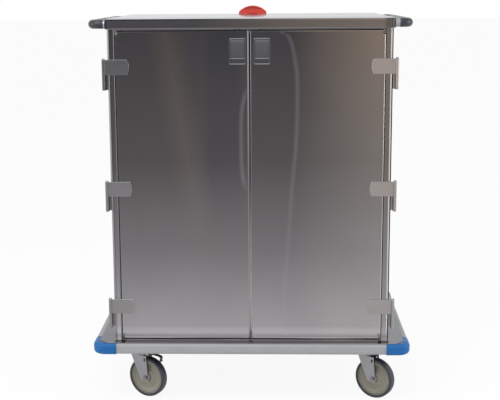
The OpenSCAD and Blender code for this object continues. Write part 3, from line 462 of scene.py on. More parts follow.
def soften(node, suffix, width, mats, segments=2, pick=None):
    """A merged copy of a CAD node with a round of that width on its edges, which stands for the node. Its
    name is the node's with the suffix, and a second finish among mats goes on the rounds. pick takes the
    edges' end points, two arrays of places, and says what share of the width each edge gets."""
    name = f"{node}_{suffix}"
    src = frame["nodes"][node]
    mesh = src.data.copy()
    mesh.name = name
    mesh.materials.clear()
    for m in mats.split():
        mesh.materials.append(finish(m))
    bm = welded(mesh, CAD_WELD)
    bmesh.ops.dissolve_limit(bm, angle_limit=math.radians(SHEET_FLAT), verts=bm.verts, edges=bm.edges)
    bm.to_mesh(mesh)
    bm.free()
    mesh.polygons.foreach_set("material_index", np.zeros(len(mesh.polygons), np.int32))
    obj = stand(mesh, name, BODY_OF[node], SHEET_SHARP)
    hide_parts(node)
    b = obj.modifiers.new("round", "BEVEL")
    b.width, b.segments = width, segments
    b.limit_method, b.angle_limit = "ANGLE", math.radians(SHEET_SHARP)
    b.use_clamp_overlap = True
    if len(mesh.materials) > 1:
        b.material = 1
    if pick:
        co = np.zeros(len(mesh.vertices) * 3)
        mesh.vertices.foreach_get("co", co)
        ends = np.zeros(len(mesh.edges) * 2, np.int32)
        mesh.edges.foreach_get("vertices", ends)
        p = co.reshape(-1, 3)[ends.reshape(-1, 2)]
        sharp = np.zeros(len(mesh.edges), bool)
        mesh.attributes["sharp_edge"].data.foreach_get("value", sharp)
        weight = mesh.attributes.new("bevel_weight_edge", "FLOAT", "EDGE")
        weight.data.foreach_set("value", (pick(p[:, 0], p[:, 1]) * sharp).astype(np.float32))
        b.limit_method = "WEIGHT"
        b.use_clamp_overlap = False
    w = obj.modifiers.new("normals", "WEIGHTED_NORMAL")
    w.keep_sharp = True


def dress(nodes, mat):
    """Gives CAD nodes that stay as they are the finish of that name."""
    for name in nodes:
        obj = frame["nodes"][name]
        if not obj.material_slots:
            raise RuntimeError(f"{name} has no material slot")
        for s in obj.material_slots:
            s.link = "OBJECT"
            s.material = finish(mat)


def sides(name):
    """Word, sign of X and node for each side."""
    return [("left", -1, f"left_{name}"), ("right", 1, f"right_{name}")]


# ---------------------------------------------------------------- finishes by name


def flat(*rgb):
    """Stops of one colour."""
    return [(0.0, rgb), (1.5, rgb)]


def stripe(axis, place, low, high, stops, *fall):
    """A strip for steel: low, high and fall are millimetres along the axis, the first two from a place."""
    return (axis, place + low * MM, place + high * MM, stops, *[f * MM for f in fall])


def lighter(stops, gain, lift=0):
    """Stops with each colour times gain plus lift."""
    return [(z, tuple(min(250, c * gain + lift) for c in rgb)) for z, rgb in stops]


def latch_stops(*greys):
    """Stops from pairs of height over a latch's lower edge, in millimetres, and grey."""
    return [(LATCH[0][2] + z * MM, (g, g, min(255, g + 4))) for z, g in greys]


# Painted reflections on the doors from the foot up: light where the satin steel mirrors the floor, darker
# above where it mirrors the room. The second one is the right side's, whose painted reflection is warmer
DOOR_REFLECTION_STOPS = [(0.25, (206, 203, 206)), (0.30, (156, 153, 156)), (0.60, (117, 114, 117)), (0.95, (82, 79, 81)),
              (1.44, (61, 59, 61))]
WARM_REFLECTION_STOPS = [(0.25, (208, 204, 207)), (0.30, (163, 159, 162)), (0.60, (136, 132, 133)),
              (0.95, (118, 112, 108)), (1.44, (123, 110, 100))]
WARM_REFLECTION = (0.16, 0.48, WARM_REFLECTION_STOPS)
# Painted highlights on the doors' rolled edges beside the gap between them
SEAM_HIGHLIGHT_STOPS = [(0.3, (152, 150, 152)), (0.85, (120, 118, 120)), (1.4, (146, 145, 148))]
# The strip behind the gap: painted light coming through the gap, brightest low down
GAP_LIGHT_STOPS = [(0.45, (255, 255, 255)), (0.9, (90, 88, 90)), (1.2, (30, 29, 30))]
SEAM_HIGHLIGHTS = (stripe("X", -DOOR[0][0], -7, -2, SEAM_HIGHLIGHT_STOPS), stripe("X", DOOR[0][0], 0, 2.4, SEAM_HIGHLIGHT_STOPS))
# Painted soft reflections on the doors: a warmer painted sheen and a darker painted band on the left one, a
# curved painted streak on the right one and a painted loop beside the gap
SHEENS = (
    (0, 75 * MM, ((0.25, -0.122), (1.45, -0.317)), (0.026, 0.019, 0.009), (0.90, 1.35, 0.35), "ADD"),
    (50 * MM, 25 * MM, ((0.25, -0.101), (1.45, -0.099)), (0.88, 0.89, 0.95), (1.00, 1.44, 0.30), "MULTIPLY"),
    (2 * MM, 10 * MM, ((0.42, 0.128), (0.81, 0.156), (1.22, 0.178), (1.33, 0.169), (1.43, 0.122)),
     (0.040, 0.040, 0.041), (1.00, 1.40, 0.75), "ADD"),
    (2 * MM, 9 * MM, ((0.84, -0.004), (0.92, -0.031), (1.09, -0.034), (1.185, -0.023), (1.23, -0.006)),
     (0.050, 0.050, 0.052), (0.88, 1.19, 0.05), "ADD"))
# The wall behind a stile's rounded outer corner, with a painted reflection lighter near the floor, and the
# stiles' light and dark lines, painted highlights and painted dark reflections
WALL_REFLECTION_STOPS = lighter(DOOR_REFLECTION_STOPS, 0.9, 40)
POST_L, POST_R = -STILE[1][0], STILE[1][0]
LEFT_POST_REFLECTIONS = (stripe("X", POST_L, -1, 7.2, flat(150, 149, 151)),
             stripe("X", -STILE[0][0], -3.2, -0.3, flat(124, 123, 125)),
             stripe("X", -STILE[0][0], -0.2, 1, flat(170, 168, 170)),
             stripe("X", POST_L, -1, 0.3, WALL_REFLECTION_STOPS, 0.2))
RIGHT_POST_REFLECTIONS = (stripe("X", POST_R, -9.2, -5.4, flat(226, 222, 220)),
              stripe("X", POST_R, -5.0, -0.5, flat(32, 31, 30), 0.2),
              stripe("X", POST_R, -0.3, 1, WALL_REFLECTION_STOPS, 0.2))
# Painted reflections on the top's side: a painted highlight on its hem, the face, a dark painted reflection
# under the upper fold, a warmer painted reflection at the right, and painted dark reflections and highlights
# at its rounded corners
CAP_REFLECTION_STOPS = [(1.4488, (122, 120, 124)), (1.4515, (112, 110, 113)), (1.4535, (74, 72, 74)),
             (1.458, (66, 64, 66)), (1.478, (68, 66, 68)), (1.4815, (58, 56, 58)), (1.4828, (32, 31, 33)),
             (1.486, (36, 35, 37))]
CAP_WARM_REFLECTION = [(1.4488, (134, 128, 124)), (1.4515, (124, 116, 110)), (1.4535, (114, 104, 97)),
            (1.478, (112, 102, 95)), (1.4828, (138, 128, 122)), (1.486, (150, 142, 136))]
CAP_R_END = ROOF[1][0]
CAP_END_REFLECTIONS = (stripe("X", -CAP_R_END, 0.8, 15, flat(44, 43, 45)),
            stripe("X", CAP_R_END, -34, -16.5, flat(92, 85, 80), 12),
            stripe("X", CAP_R_END, -16.5, -7, flat(55, 52, 49)),
            stripe("X", CAP_R_END, -7, -3, flat(72, 68, 65)),
            stripe("X", CAP_R_END, -3, -0.8, flat(150, 146, 143)))
# The deck's painted reflections: a light strip and a dark strip before the doors, and its ends beside the
# cabinet
DECK_REFLECTIONS = (stripe("Y", STILE[0][1], -12, 0, flat(168, 165, 168), 6),
               stripe("Y", STILE[0][1], -44, -20, flat(46, 44, 47), 4),
               ("X", STILE[1][0], DECK[1][0], flat(110, 108, 114)),
               ("X", DECK[0][0], -STILE[1][0], flat(99, 97, 105)))
# Latches: painted highlights and painted shade on the frame, its bevel and paddle, each from the lower edge
# up:
# bright lines at the edges, dark inside the recess and in the slot under the paddle's lip
LATCH_LIGHT_STOPS = latch_stops((0, 130), (4.6, 130), (5.2, 82), (92, 82), (94, 130), (98, 130))
LATCH_EDGE_LIGHT_STOPS = latch_stops((0, 160), (6, 160), (8, 104), (90, 104), (93, 165), (98, 165))
PADDLE_LIGHT_STOPS = latch_stops((20, 150), (23.6, 150), (24, 66), (28, 84), (60, 88), (82, 90), (84, 104),
                           (96, 104))
# Hinges: painted reflection lighter near the floor and warmer at the right; the casters' plating a little
# lighter higher up
HINGE_REFLECTION_STOPS = [(0.3, (141, 139, 140)), (0.85, (122, 120, 122)), (1.4, (84, 83, 86))]
PLATED_STOPS = [(0.06, (146, 145, 150)), (0.19, (152, 151, 154))]
HINGE_WARM_REFLECTION = (0.0, 0.45, [(0.3, (153, 150, 150)), (1.4, (155, 144, 137))])

MADE = {}


def finish(name):
    """The material of that name, made on its first use."""
    if name in MADE:
        return MADE[name]
    v = bpy.context.scene.cart_finishes
    make = {
        "door_face": lambda: steel(name, DOOR_REFLECTION_STOPS, WARM_REFLECTION, bands=SEAM_HIGHLIGHTS, sheens=SHEENS),
        # The doors' rounded edges: painted highlights, strongest on the right door's outer edge
        "door_edge": lambda: steel(
            name, lighter(DOOR_REFLECTION_STOPS, 1.0, 4), (0.1, 0.5, lighter(WARM_REFLECTION_STOPS, 1.05, 14)),
            bands=SEAM_HIGHLIGHTS + (stripe("X", DOOR[1][0], -3, 1, flat(205, 202, 200)),)),
        # Strip behind the doors' gap: painted light through the gap, brightest low down
        "seam_strip": lambda: steel(name, GAP_LIGHT_STOPS),
        # Stiles and walls: painted reflections lighter near the floor, the stiles with painted highlights and
        # dark lines
        "post_left": lambda: steel(name, lighter(DOOR_REFLECTION_STOPS, 1.1, -6), bands=LEFT_POST_REFLECTIONS),
        "post_right": lambda: steel(name, lighter(WARM_REFLECTION_STOPS, 0.92), bands=RIGHT_POST_REFLECTIONS),
        "wall_steel": lambda: steel(name, WALL_REFLECTION_STOPS),
        # The top's side: painted reflections and highlights, warmer at the right
        "cap_side": lambda: steel(name, CAP_REFLECTION_STOPS, (-0.2, 0.45, CAP_WARM_REFLECTION), PLANE, bands=CAP_END_REFLECTIONS),
        # Painted highlight for the top's lip and the rounded edges of the header and deck
        "cap_lip": lambda: steel(name, flat(128, 127, 131), grain=PLANE),
        # The top's upper side: a painted highlight along the front bevel, a darker painted reflection at the
        # right
        "cap_top": lambda: steel(
            name, flat(112, 114, 120), (-0.1, 0.4, flat(68, 66, 66)), LEVEL, 0.13,
            bands=(stripe("Y", ROOF[0][1], -1, 24, flat(182, 184, 190)),), brush=0.15),
        "header_steel": lambda: steel(name, flat(104, 101, 104), grain=LEVEL),
        # The deck: painted reflections, lighter at the right, in strips before the doors and at its ends
        "deck_face": lambda: steel(
            name, flat(84, 82, 86), (0.1, 0.42, flat(140, 136, 131)), LEVEL, 0.15, 0.04, bands=DECK_REFLECTIONS,
            brush=0.3),
        "frame_face": lambda: steel(name, flat(118, 118, 122), None, LEVEL, 0.42, 0.08),
        # Hinges: painted reflection, with a painted highlight on their rounded edges
        "hinge_face": lambda: steel(name, HINGE_REFLECTION_STOPS, HINGE_WARM_REFLECTION, LEVEL),
        "hinge_edge": lambda: steel(name, [(0.3, (182, 181, 183)), (1.4, (150, 150, 153))], grain=LEVEL),
        # Latches: painted highlight lines, painted shade in the recess and under the paddle's lip
        "latch_face": lambda: steel(name, LATCH_LIGHT_STOPS, None, SHORT, 0.25,
                                    bands=(("Y", LATCH[0][1] + 1.8 * MM, 0, flat(76, 76, 79)),)),
        "latch_edge": lambda: steel(name, LATCH_EDGE_LIGHT_STOPS, None, SHORT, 0.22),
        "paddle_face": lambda: steel(name, PADDLE_LIGHT_STOPS, None, SHORT, 0.25),
        "shelf_steel": lambda: steel(name, flat(150, 150, 153), None, LEVEL, depth=0.04),
        "handle_face": lambda: steel(name, flat(160, 160, 166), None, EVEN, 0.38),
        "plated": lambda: steel(name, PLATED_STOPS, None, EVEN, 0.36, 0.06),
        # Painted highlight on the plating's rounded edges
        "plated_edge": lambda: steel(name, flat(190, 190, 195), None, EVEN, 0.3),
        "axle_zinc": lambda: steel(name, flat(128, 128, 130), None, EVEN, 0.3, 0.06),
        # Painted shade round the axle head's rim
        "axle_rim": lambda: steel(name, flat(46, 45, 48), None, EVEN, 0.35, 0.06),
        "fastener": lambda: steel(name, flat(160, 160, 166), None, EVEN, 0.3, 0.06),
        "rail_grey": lambda: moulded(name, v.bumper_grey, 0.5, 1600, 0.12, 0.03),
        "corner_blue": lambda: moulded(name, v.bumper_blue, 0.46, 1100, 0.16, 0.06, specular=0.3),
        "grip_black": lambda: moulded(name, v.grip, 0.30, 700, 0.14, 0.12),
        "tread_grey": lambda: moulded(name, v.tread, 0.48, 1200, 0.2, 0.08),
        "core_khaki": lambda: moulded(name, v.core, 0.4, 800, 0.12, 0.06),
        # Painted highlight and painted shade rings on the wheel cores
        "core_lip": lambda: moulded(name, [c * 1.25 for c in v.core], 0.34, 800, 0.08, 0.05),
        "core_step": lambda: moulded(name, [c * 0.72 for c in v.core], 0.45, 800, 0.12, 0.06),
        "pedal_black": lambda: moulded(name, (0.012, 0.012, 0.014), 0.38, 900, 0.2, 0.1),
        "pad_white": lambda: moulded(name, (0.95, 0.95, 0.94), 0.5, 900, 0.1, 0.03),
        "sign_face": lambda: moulded(name, v.sign, 0.33, 600, 0.05, 0.04),
        "sign_bar": lambda: moulded(name, (0.030, 0.008, 0.008), 0.4, 600, 0.05, 0.05),
    }
    MADE[name] = make[name]()
    return MADE[name]


# ---------------------------------------------------------------- operators


class CART_OT_top(bpy.types.Operator):
    """Builds the folded top"""

    bl_idname = "cart.top"
    bl_label = "Top"

    def execute(self, context):
        # Rings of a rounded rectangle at (inset, height): up the hem, round the fold, up the crown's bevel
        # and back along the inside
        (w, d, _), crown = ROOF[1] - ROOF[0], ROOF[1][2]
        low, rim, over = ROOF[0][2], ROOF[0][2] + CAP_H, CROWN_INSET + CROWN_BEVEL
        t, r, hem_r, hem = CAP_T, CAP_FOLD_R, CAP_HEM_R, w / 2 - STILE[1][0]
        out = np.concatenate([
            [[hem, low + t], [hem, low]],
            quarter(hem_r, low + hem_r, hem_r, -90, -180, 5),
            [[0, low + 4 * MM], [0, rim - r]],
            quarter(r, rim - r, r, 180, 90, 7),
            [[CROWN_INSET - 0.4 * MM, rim], [CROWN_INSET + 0.6 * MM, rim + 0.1 * MM]],
            [[over - 1.5 * MM, crown - 0.25 * MM], [over, crown - 0.05 * MM], [over + 2 * MM, crown]]])
        back = [[over + 2 * MM, crown - t], [over, crown - t], [CROWN_INSET + 1 * MM, rim - t], [t, rim - t],
                [t, low + t]]
        rings = np.stack([level(rounded_rect(w, d, CAP_R, inset), z) for inset, z in [*out, *back]])
        (rows, cols), top = rings.shape[:2], len(out)
        # The crown closes each skin with a face of its own, so no band joins the outer rings to the inner
        use = np.arange(rows - 1) != top - 1
        bands = np.zeros(rows - 1, int)
        bands[:CAP_LIP_BANDS], bands[CAP_TOP_BAND:] = 1, 2
        ends = np.arange(cols)
        faces = [*grid_faces(rows, cols).reshape(-1, cols, 4)[use].reshape(-1, 4), ends + (top - 1) * cols,
                 ends[::-1] + top * cols, *seam_faces(rows, cols)]
        index = [*np.repeat(bands[use], cols), 2, 2, *[1] * cols]
        # The side takes painted reflections, the lip's bands and the closing faces a painted highlight
        obj = piece("roof_cap_folded", rings, faces, "cap_side cap_lip cap_top", "root", 35,
                    index)
        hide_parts("roof_cap")
        return {"FINISHED"}


class CART_OT_cabinet(bpy.types.Operator):
    """Softens the cabinet's sheets and gives them their finish"""

    bl_idname = "cart.cabinet"
    bl_label = "Cabinet"

    def execute(self, context):
        e = context.scene.cart_edges
        front, side_x = STILE[0][1], STILE[1][0]

        def upright(a, b):
            """Upright edges of a stile, in full at its outer corner and less elsewhere."""
            tall = np.abs(a[:, 2] - b[:, 2]) > POST_HALF
            at_front = np.abs(a[:, 1] - front) < NEAR
            outer = np.abs(np.abs(a[:, 0]) - side_x) < NEAR
            return tall * np.where(at_front & outer, 1.0, np.where(at_front, POST_INNER, 0.0))

        # Stiles with painted reflections, highlights and dark lines; sill and walls with a painted reflection
        for side, _, node in sides("front_stile"):
            soften(node, "folded", e.post, f"post_{side}", 4, upright)
        # The header's rounded edges carry the painted highlight
        soften("header", "folded", e.sheet, "header_steel cap_lip")
        soften("sill", "folded", e.sheet / 2, "wall_steel")
        dress(("left_side_panel", "right_side_panel", "back_panel"), "wall_steel")
        soften("corner_pads", "moulded", e.sheet, "pad_white")
        return {"FINISHED"}


class CART_OT_doors(bpy.types.Operator):
    """Builds the doors' rounded pans and the strip behind their gap, and gives their inner sheets a finish"""

    bl_idname = "cart.doors"
    bl_label = "Doors"

    def execute(self, context):
        e = context.scene.cart_edges
        for side, _, node in sides("door_skin"):
            front, cut = box(node)[0][1], box(f"{side}_latch_housing")

            def outline(a, b, front=front, cut=cut):
                """Edges of the front face, apart from those of the latch's cut-out."""
                at_front = (np.abs(a[:, 1] - front) < NEAR / 2) & (np.abs(b[:, 1] - front) < NEAR / 2)
                m = (a + b) / 2
                inside = np.all((m > cut[0] - MM) & (m < cut[1] + MM) | [False, True, False], axis=1)
                return (at_front & ~inside).astype(float)

            # The folded edge round each door carries the painted highlight
            soften(node, "folded", e.door, "door_face door_edge", 4, outline)
        # The liners take the walls' painted reflection, lighter near the floor
        dress(["left_door_liner", "right_door_liner"], "wall_steel")
        # The left door's inner edge carries a strip that lies behind the gap between the doors, painted light
        # low down and dark higher up, for the light that comes through the gap
        back, gap = DOOR[1][1] + 0.3 * MM, DOOR[0][0] - 0.5 * MM
        inner, thick, clear = -16 * MM, 1.2 * MM, 4 * MM
        plan = np.array([[inner, back], [gap, back], [gap, back + thick], [inner, back + thick]])
        heights = box("sill")[1][2] + clear, box("header")[0][2] - clear
        verts, faces = closed_rings(np.stack([level(plan, z) for z in heights]))
        piece("left_door_seam_strip", verts, faces, "seam_strip", "left_door", 30)
        return {"FINISHED"}


class CART_OT_hinges(bpy.types.Operator):
    """Softens the hinges"""

    bl_idname = "cart.hinges"
    bl_label = "Hinges"

    def execute(self, context):
        e = context.scene.cart_edges
        # Leaves and brackets with a painted highlight on their rounded edges
        for _, _, node in sides("hinge_leaves"):
            soften(node, "pressed", e.sheet * 0.8, "hinge_face hinge_edge")
        soften("hinge_brackets", "pressed", e.sheet * 0.7, "hinge_face hinge_edge")
        soften("hinge_pins", "turned", e.sheet * 0.6, "fastener")
        return {"FINISHED"}


class CART_OT_latches(bpy.types.Operator):
    """Builds the latch frames and paddles"""

    bl_idname = "cart.latches"
    bl_label = "Latches"

    def execute(self, context):
        for side, _, node in sides("latch_housing"):
            # Frames and paddles with painted highlight and shade lines, brighter on the frames' rounded edges
            soften(node, "cast", LATCH_ROUND, "latch_face latch_edge")
            paddle, bolt = f"{side}_latch_paddle", f"{side}_latch_bolt"
            soften(paddle, "pressed", PADDLE_ROUND, "paddle_face")
            soften(bolt, "ground", BOLT_ROUND, "header_steel")
        return {"FINISHED"}


class CART_OT_handles(bpy.types.Operator):
    """Builds the bent handle tubes and their grips"""

    bl_idname = "cart.handles"
    bl_label = "Handles"

    def execute(self, context):
        low, high = GRIP
        z, grip_r = (low[2] + high[2]) / 2, (high[2] - low[2]) / 2
        bar_x, root_x, y = high[0] - grip_r, ROOF[1][0], HANDLE_ARM_Y
        # Path of the bar with its two bends, and of the tube, which starts and ends on the top's sides
        turn = quarter(bar_x - HANDLE_BEND, -y + HANDLE_BEND, HANDLE_BEND, -90, 0, 17)
        bar = np.column_stack([np.full(60, bar_x), np.linspace(-y + HANDLE_BEND, y - HANDLE_BEND, 60)])[1:-1]
        bends = np.concatenate([turn, bar, (turn * [1, -1])[::-1]])
        arm = np.array([[root_x, -y], [root_x + 8 * MM, -y]])
        path = np.concatenate([arm, bends, arm[::-1] * [1, -1]])
        collar = np.array([[HANDLE_R - 0.2 * MM, 0], [COLLAR_R, 0], [COLLAR_R, 2 * MM],
                           [COLLAR_R - 0.6 * MM, 2.8 * MM], [HANDLE_R + 0.3 * MM, COLLAR_T],
                           [HANDLE_R - 0.2 * MM, COLLAR_T]])
        for side, sign, node in sides("handle_tube"):
            flip = np.array([sign, 1, 1])
            shells = [closed_rings(tube(level(path, z), HANDLE_R))]
            for end in (-1, 1):
                ring = lathe(collar, 64)[..., [2, 0, 1]] + [root_x, end * y, z]
                shells.append((ring.reshape(-1, 3), grid_faces(len(collar), 64)))
            verts, faces = joined(shells)
            obj = piece(f"{side}_handle_tube_bent", verts * flip, faces, "handle_face", "root",
                        40)
            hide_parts(node)
            # The grip's radius waves by an eighth of a millimetre along it, and is less at its two ends
            grip_x = low[0] + GRIP_SHIFT[side]
            ends = np.array([[grip_x, -y], [grip_x + 0.8 * MM, -y]])
            start = np.concatenate([ends, bends, ends[::-1] * [1, -1]])
            wave = 0.12 * MM * np.cos(2.4 * np.arange(len(start)))
            radii = np.clip(grip_r - 0.15 * MM + wave, None, grip_r)
            radii[[0, -1]] = HANDLE_R + 0.1 * MM
            radii[[1, -2]] = grip_r - 0.35 * MM
            verts, faces = closed_rings(tube(level(start, z), radii, 40))
            obj = piece(f"{side}_handle_grip_moulded", verts * flip, faces, "grip_black", "root",
                        60)
            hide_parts(f"{side}_handle_grip")
        return {"FINISHED"}


def bumper_section(t, h, r):
    """(distance outwards, height) round a bumper's section, from its lower back edge."""
    lower, upper = quarter(t - r, r, r, -90, 0, 11), quarter(t - r, h - r, r, 0, 90, 11)
    return np.concatenate([[[0, 0]], lower, upper, [[0, h]]])


class CART_OT_bumpers(bpy.types.Operator):
    """Builds the bumper rails and the corner bumpers"""

    bl_idname = "cart.bumpers"
    bl_label = "Bumpers"

    def execute(self, context):
        z1, fx, fy = RAIL[1][2], FRAME_BOX[1][0], FRAME_BOX[1][1]
        t, h = -RAIL[0][1] - fy, RAIL[1][2] - RAIL[0][2]
        section = bumper_section(t, h, RAIL_R)
        q = RAIL_END
        for name, along, out, dist in (("front", (-1, 0), (0, -1), fy), ("rear", (1, 0), (0, 1), fy),
                                       ("left", (0, 1), (-1, 0), fx), ("right", (0, -1), (1, 0), fx)):
            node = f"bumper_rail_{name}"
            low, high = box(node)
            half = (high - low)[0 if along[0] else 1] / 2
            along, out = np.array(along), np.array(out)
            rings = []
            for at, shrink in ((-half, q), (-half + q, 0), (half - q, 0), (half, q)):
                p = section + (np.array([t / 2, h / 2]) - section) * (shrink / (h / 2))
                p[:, 0] = np.where(section[:, 0] == 0, 0, p[:, 0])
                xy = along * at + out * (dist + p[:, :1])
                rings.append(np.column_stack([xy, z1 - h + p[:, 1]]))
            verts, faces = closed_rings(np.array(rings))
            obj = piece(node + "_moulded", verts, faces, "rail_grey", "root", 40)
            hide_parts(node)
        # The section carried round a corner: along one leg, round the bend and along the other
        ox, oy = CORNERS[1][0], CORNERS[1][1]
        t, h = ox - fx, CORNERS[1][2] - CORNERS[0][2]
        section = bumper_section(t, h, RAIL_R + 1 * MM)
        at_back = section[:, 0] == 0
        centre = np.array([ox - CORNER_R, oy - CORNER_R])
        a = np.radians(np.linspace(90, 0, 25))
        n = np.stack([np.cos(a), np.sin(a)], -1)
        q, near = CORNER_END, CORNER_R - t
        legs = np.array([[ox - CORNER_LEG_W, centre[1]], [ox - CORNER_LEG_W + q, centre[1]]])
        arms = np.array([[centre[0], oy - CORNER_LEG_D + q], [centre[0], oy - CORNER_LEG_D]])
        base = np.concatenate([legs, np.broadcast_to(centre, n.shape), arms])
        normal = np.concatenate([[[0, 1]] * 2, n, [[1, 0]] * 2])
        rings = []
        for k, (b, m) in enumerate(zip(base, normal)):
            shrink = q if k in (0, len(base) - 1) else 0
            reach = np.where(at_back, near / np.abs(m).max(), near + section[:, 0] - shrink)
            z = section[:, 1] + (h / 2 - section[:, 1]) * (shrink / (h / 2))
            rings.append(np.column_stack([b + m * reach[:, None], CORNERS[1][2] - h + z]))
        verts, faces = closed_rings(np.array(rings))
        parts = [(verts * [sx, sy, 1], faces) for sx in (-1, 1) for sy in (-1, 1)]
        verts, faces = joined(parts)
        obj = piece("corner_bumpers_moulded", verts, faces, "corner_blue", "root", 50)
        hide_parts("corner_bumpers")
        return {"FINISHED"}


class CART_OT_base(bpy.types.Operator):
    """Softens the deck and the frame under it"""

    bl_idname = "cart.base"
    bl_label = "Deck and frame"

    def execute(self, context):
        e = context.scene.cart_edges
        # The deck with painted reflections and a painted highlight on its rounded edges
        soften("base_deck", "sheet", DECK_ROUND, "deck_face cap_lip")
        soften("base_frame", "welded", e.sheet, "frame_face")
        return {"FINISHED"}


class CART_OT_casters(bpy.types.Operator):
    """Softens the casters' pressed pieces and builds their wheels"""

    bl_idname = "cart.casters"
    bl_label = "Casters"

    def execute(self, context):
        e = context.scene.cart_edges
        # The plates' rounded edges carry a painted highlight
        soften("caster_plates", "pressed", e.cast, "plated plated_edge")
        soften("caster_bolts", "turned", e.cast * 0.6, "fastener")
        core_r, hub = WHEEL_R - TREAD_T, HUB_R
        # Half section of the core, (radius, height, finish of the band before it: 0 plain, 1 painted
        # highlight,
        # 2 painted shade): hub, ring, dish, step, lip
        half = np.array([
            (SLEEVE_R, HUB_HALF, 0), (hub - 1 * MM, HUB_HALF, 1), (hub - 0.3 * MM, 18.2 * MM, 1),
            (hub, 17.5 * MM, 1), (hub + 0.6 * MM, 12 * MM, 2), (hub + 2.4 * MM, 10.2 * MM, 2),
            (hub + 5 * MM, 9.0 * MM, 0), (hub + 8 * MM, 7.4 * MM, 1), (30 * MM, 6.2 * MM, 0),
            (38 * MM, 5.4 * MM, 0), (46 * MM, 5.2 * MM, 0), (51 * MM, 6.0 * MM, 0), (55 * MM, 8.0 * MM, 1),
            (58 * MM, 10.4 * MM, 0), (60.5 * MM, 12.0 * MM, 0), (63 * MM, 12.6 * MM, 0),
            (64.4 * MM, 12.4 * MM, 0), (65 * MM, 11.6 * MM, 2), (65.8 * MM, 11.6 * MM, 2),
            (66.4 * MM, 13.3 * MM, 2), (67 * MM, 13.5 * MM, 1), (core_r - 0.8 * MM, 13.5 * MM, 1),
            (core_r, 12.8 * MM, 2)])
        core = np.concatenate([half[:, :2], (half[:, :2] * [1, -1])[::-1]])
        bands = half[1:, 2].astype(int)
        bands = np.concatenate([bands, [0], bands[::-1], [0]])
        s = TREAD_ROUND
        tread = np.concatenate([
            [[core_r, WHEEL_HALF - 2.6 * MM], [core_r + 1 * MM, WHEEL_HALF - 0.2 * MM]],
            quarter(WHEEL_R - s - 0.4 * MM, WHEEL_HALF - s, s, 90, 10, 10),
            [[WHEEL_R - 0.12 * MM, 6 * MM], [WHEEL_R, 0.6 * MM]]])
        tread = np.concatenate([tread, (tread * [1, -1])[::-1]])
        for name in CASTERS:
            # Yokes with a painted highlight on their rounded edges, axles with painted shade round their rims
            soften(f"{name}_yoke", "pressed", e.cast, "plated plated_edge")
            soften(f"{name}_axle", "turned", AXLE_ROUND, "axle_zinc axle_rim")
            for part, profile, mats, index in (
                    ("wheel_core", core, "core_khaki core_lip core_step", bands),
                    ("wheel_tread", tread, "tread_grey", np.zeros(len(tread), int))):
                rings = at_axle(lathe(profile), name)
                rows, cols = rings.shape[:2]
                faces = [*grid_faces(rows, cols), *seam_faces(rows, cols)[:, ::-1]]
                obj = piece(f"{name}_{part}_moulded", rings, faces, mats, f"{name}_wheel", 50,
                            np.repeat(index, cols))
                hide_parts(f"{name}_{part}")
        for name in ("fl", "rr"):
            soften(f"{name}_brake_pedal", "cast", e.cast, "pedal_black")
        return {"FINISHED"}


class CART_OT_shelves(bpy.types.Operator):
    """Softens the shelves and gives their standards and clips a finish"""

    bl_idname = "cart.shelves"
    bl_label = "Shelves"

    def execute(self, context):
        e = context.scene.cart_edges
        for node in ("shelf_lower", "shelf_upper"):
            soften(node, "folded", e.sheet * 0.5, "shelf_steel")
        dress(["shelf_standards", "shelf_clips"], "shelf_steel")
        return {"FINISHED"}


class CART_OT_sign(bpy.types.Operator):
    """Softens the status sign and lays plain bars on it"""

    bl_idname = "cart.sign"
    bl_label = "Status sign"

    def execute(self, context):
        soften("status_sign", "moulded", SIGN_ROUND, "sign_face", 3)
        soften("sign_bracket", "pressed", BRACKET_ROUND, "fastener")
        low, high = SIGN
        w, rise = (high - low)[0], (high - low)[2] - SIGN_FOOT
        r = (w * w / 4 + rise * rise) / (2 * rise)
        centre = high[2] - r
        # Bars are strips between two radii of the dome's own circle, a grid of angle by radius
        shells = []
        for depth, thick, spread in SIGN_BARS:
            a = np.linspace(-spread, spread, 25)[None]
            q = (r - depth + np.array([0, thick, thick, 0]) * MM)[:, None]
            y = (low[1] + np.array([0, 0, -0.12, -0.12]) * MM)[:, None] + 0 * a
            p = np.stack([q * np.sin(a), y, centre + q * np.cos(a)], -1)
            shells.append(closed_rings(p.transpose(1, 0, 2)))
        verts, faces = joined(shells)
        piece("status_sign_bars", verts, faces, "sign_bar", "status_sign", 30)
        return {"FINISHED"}


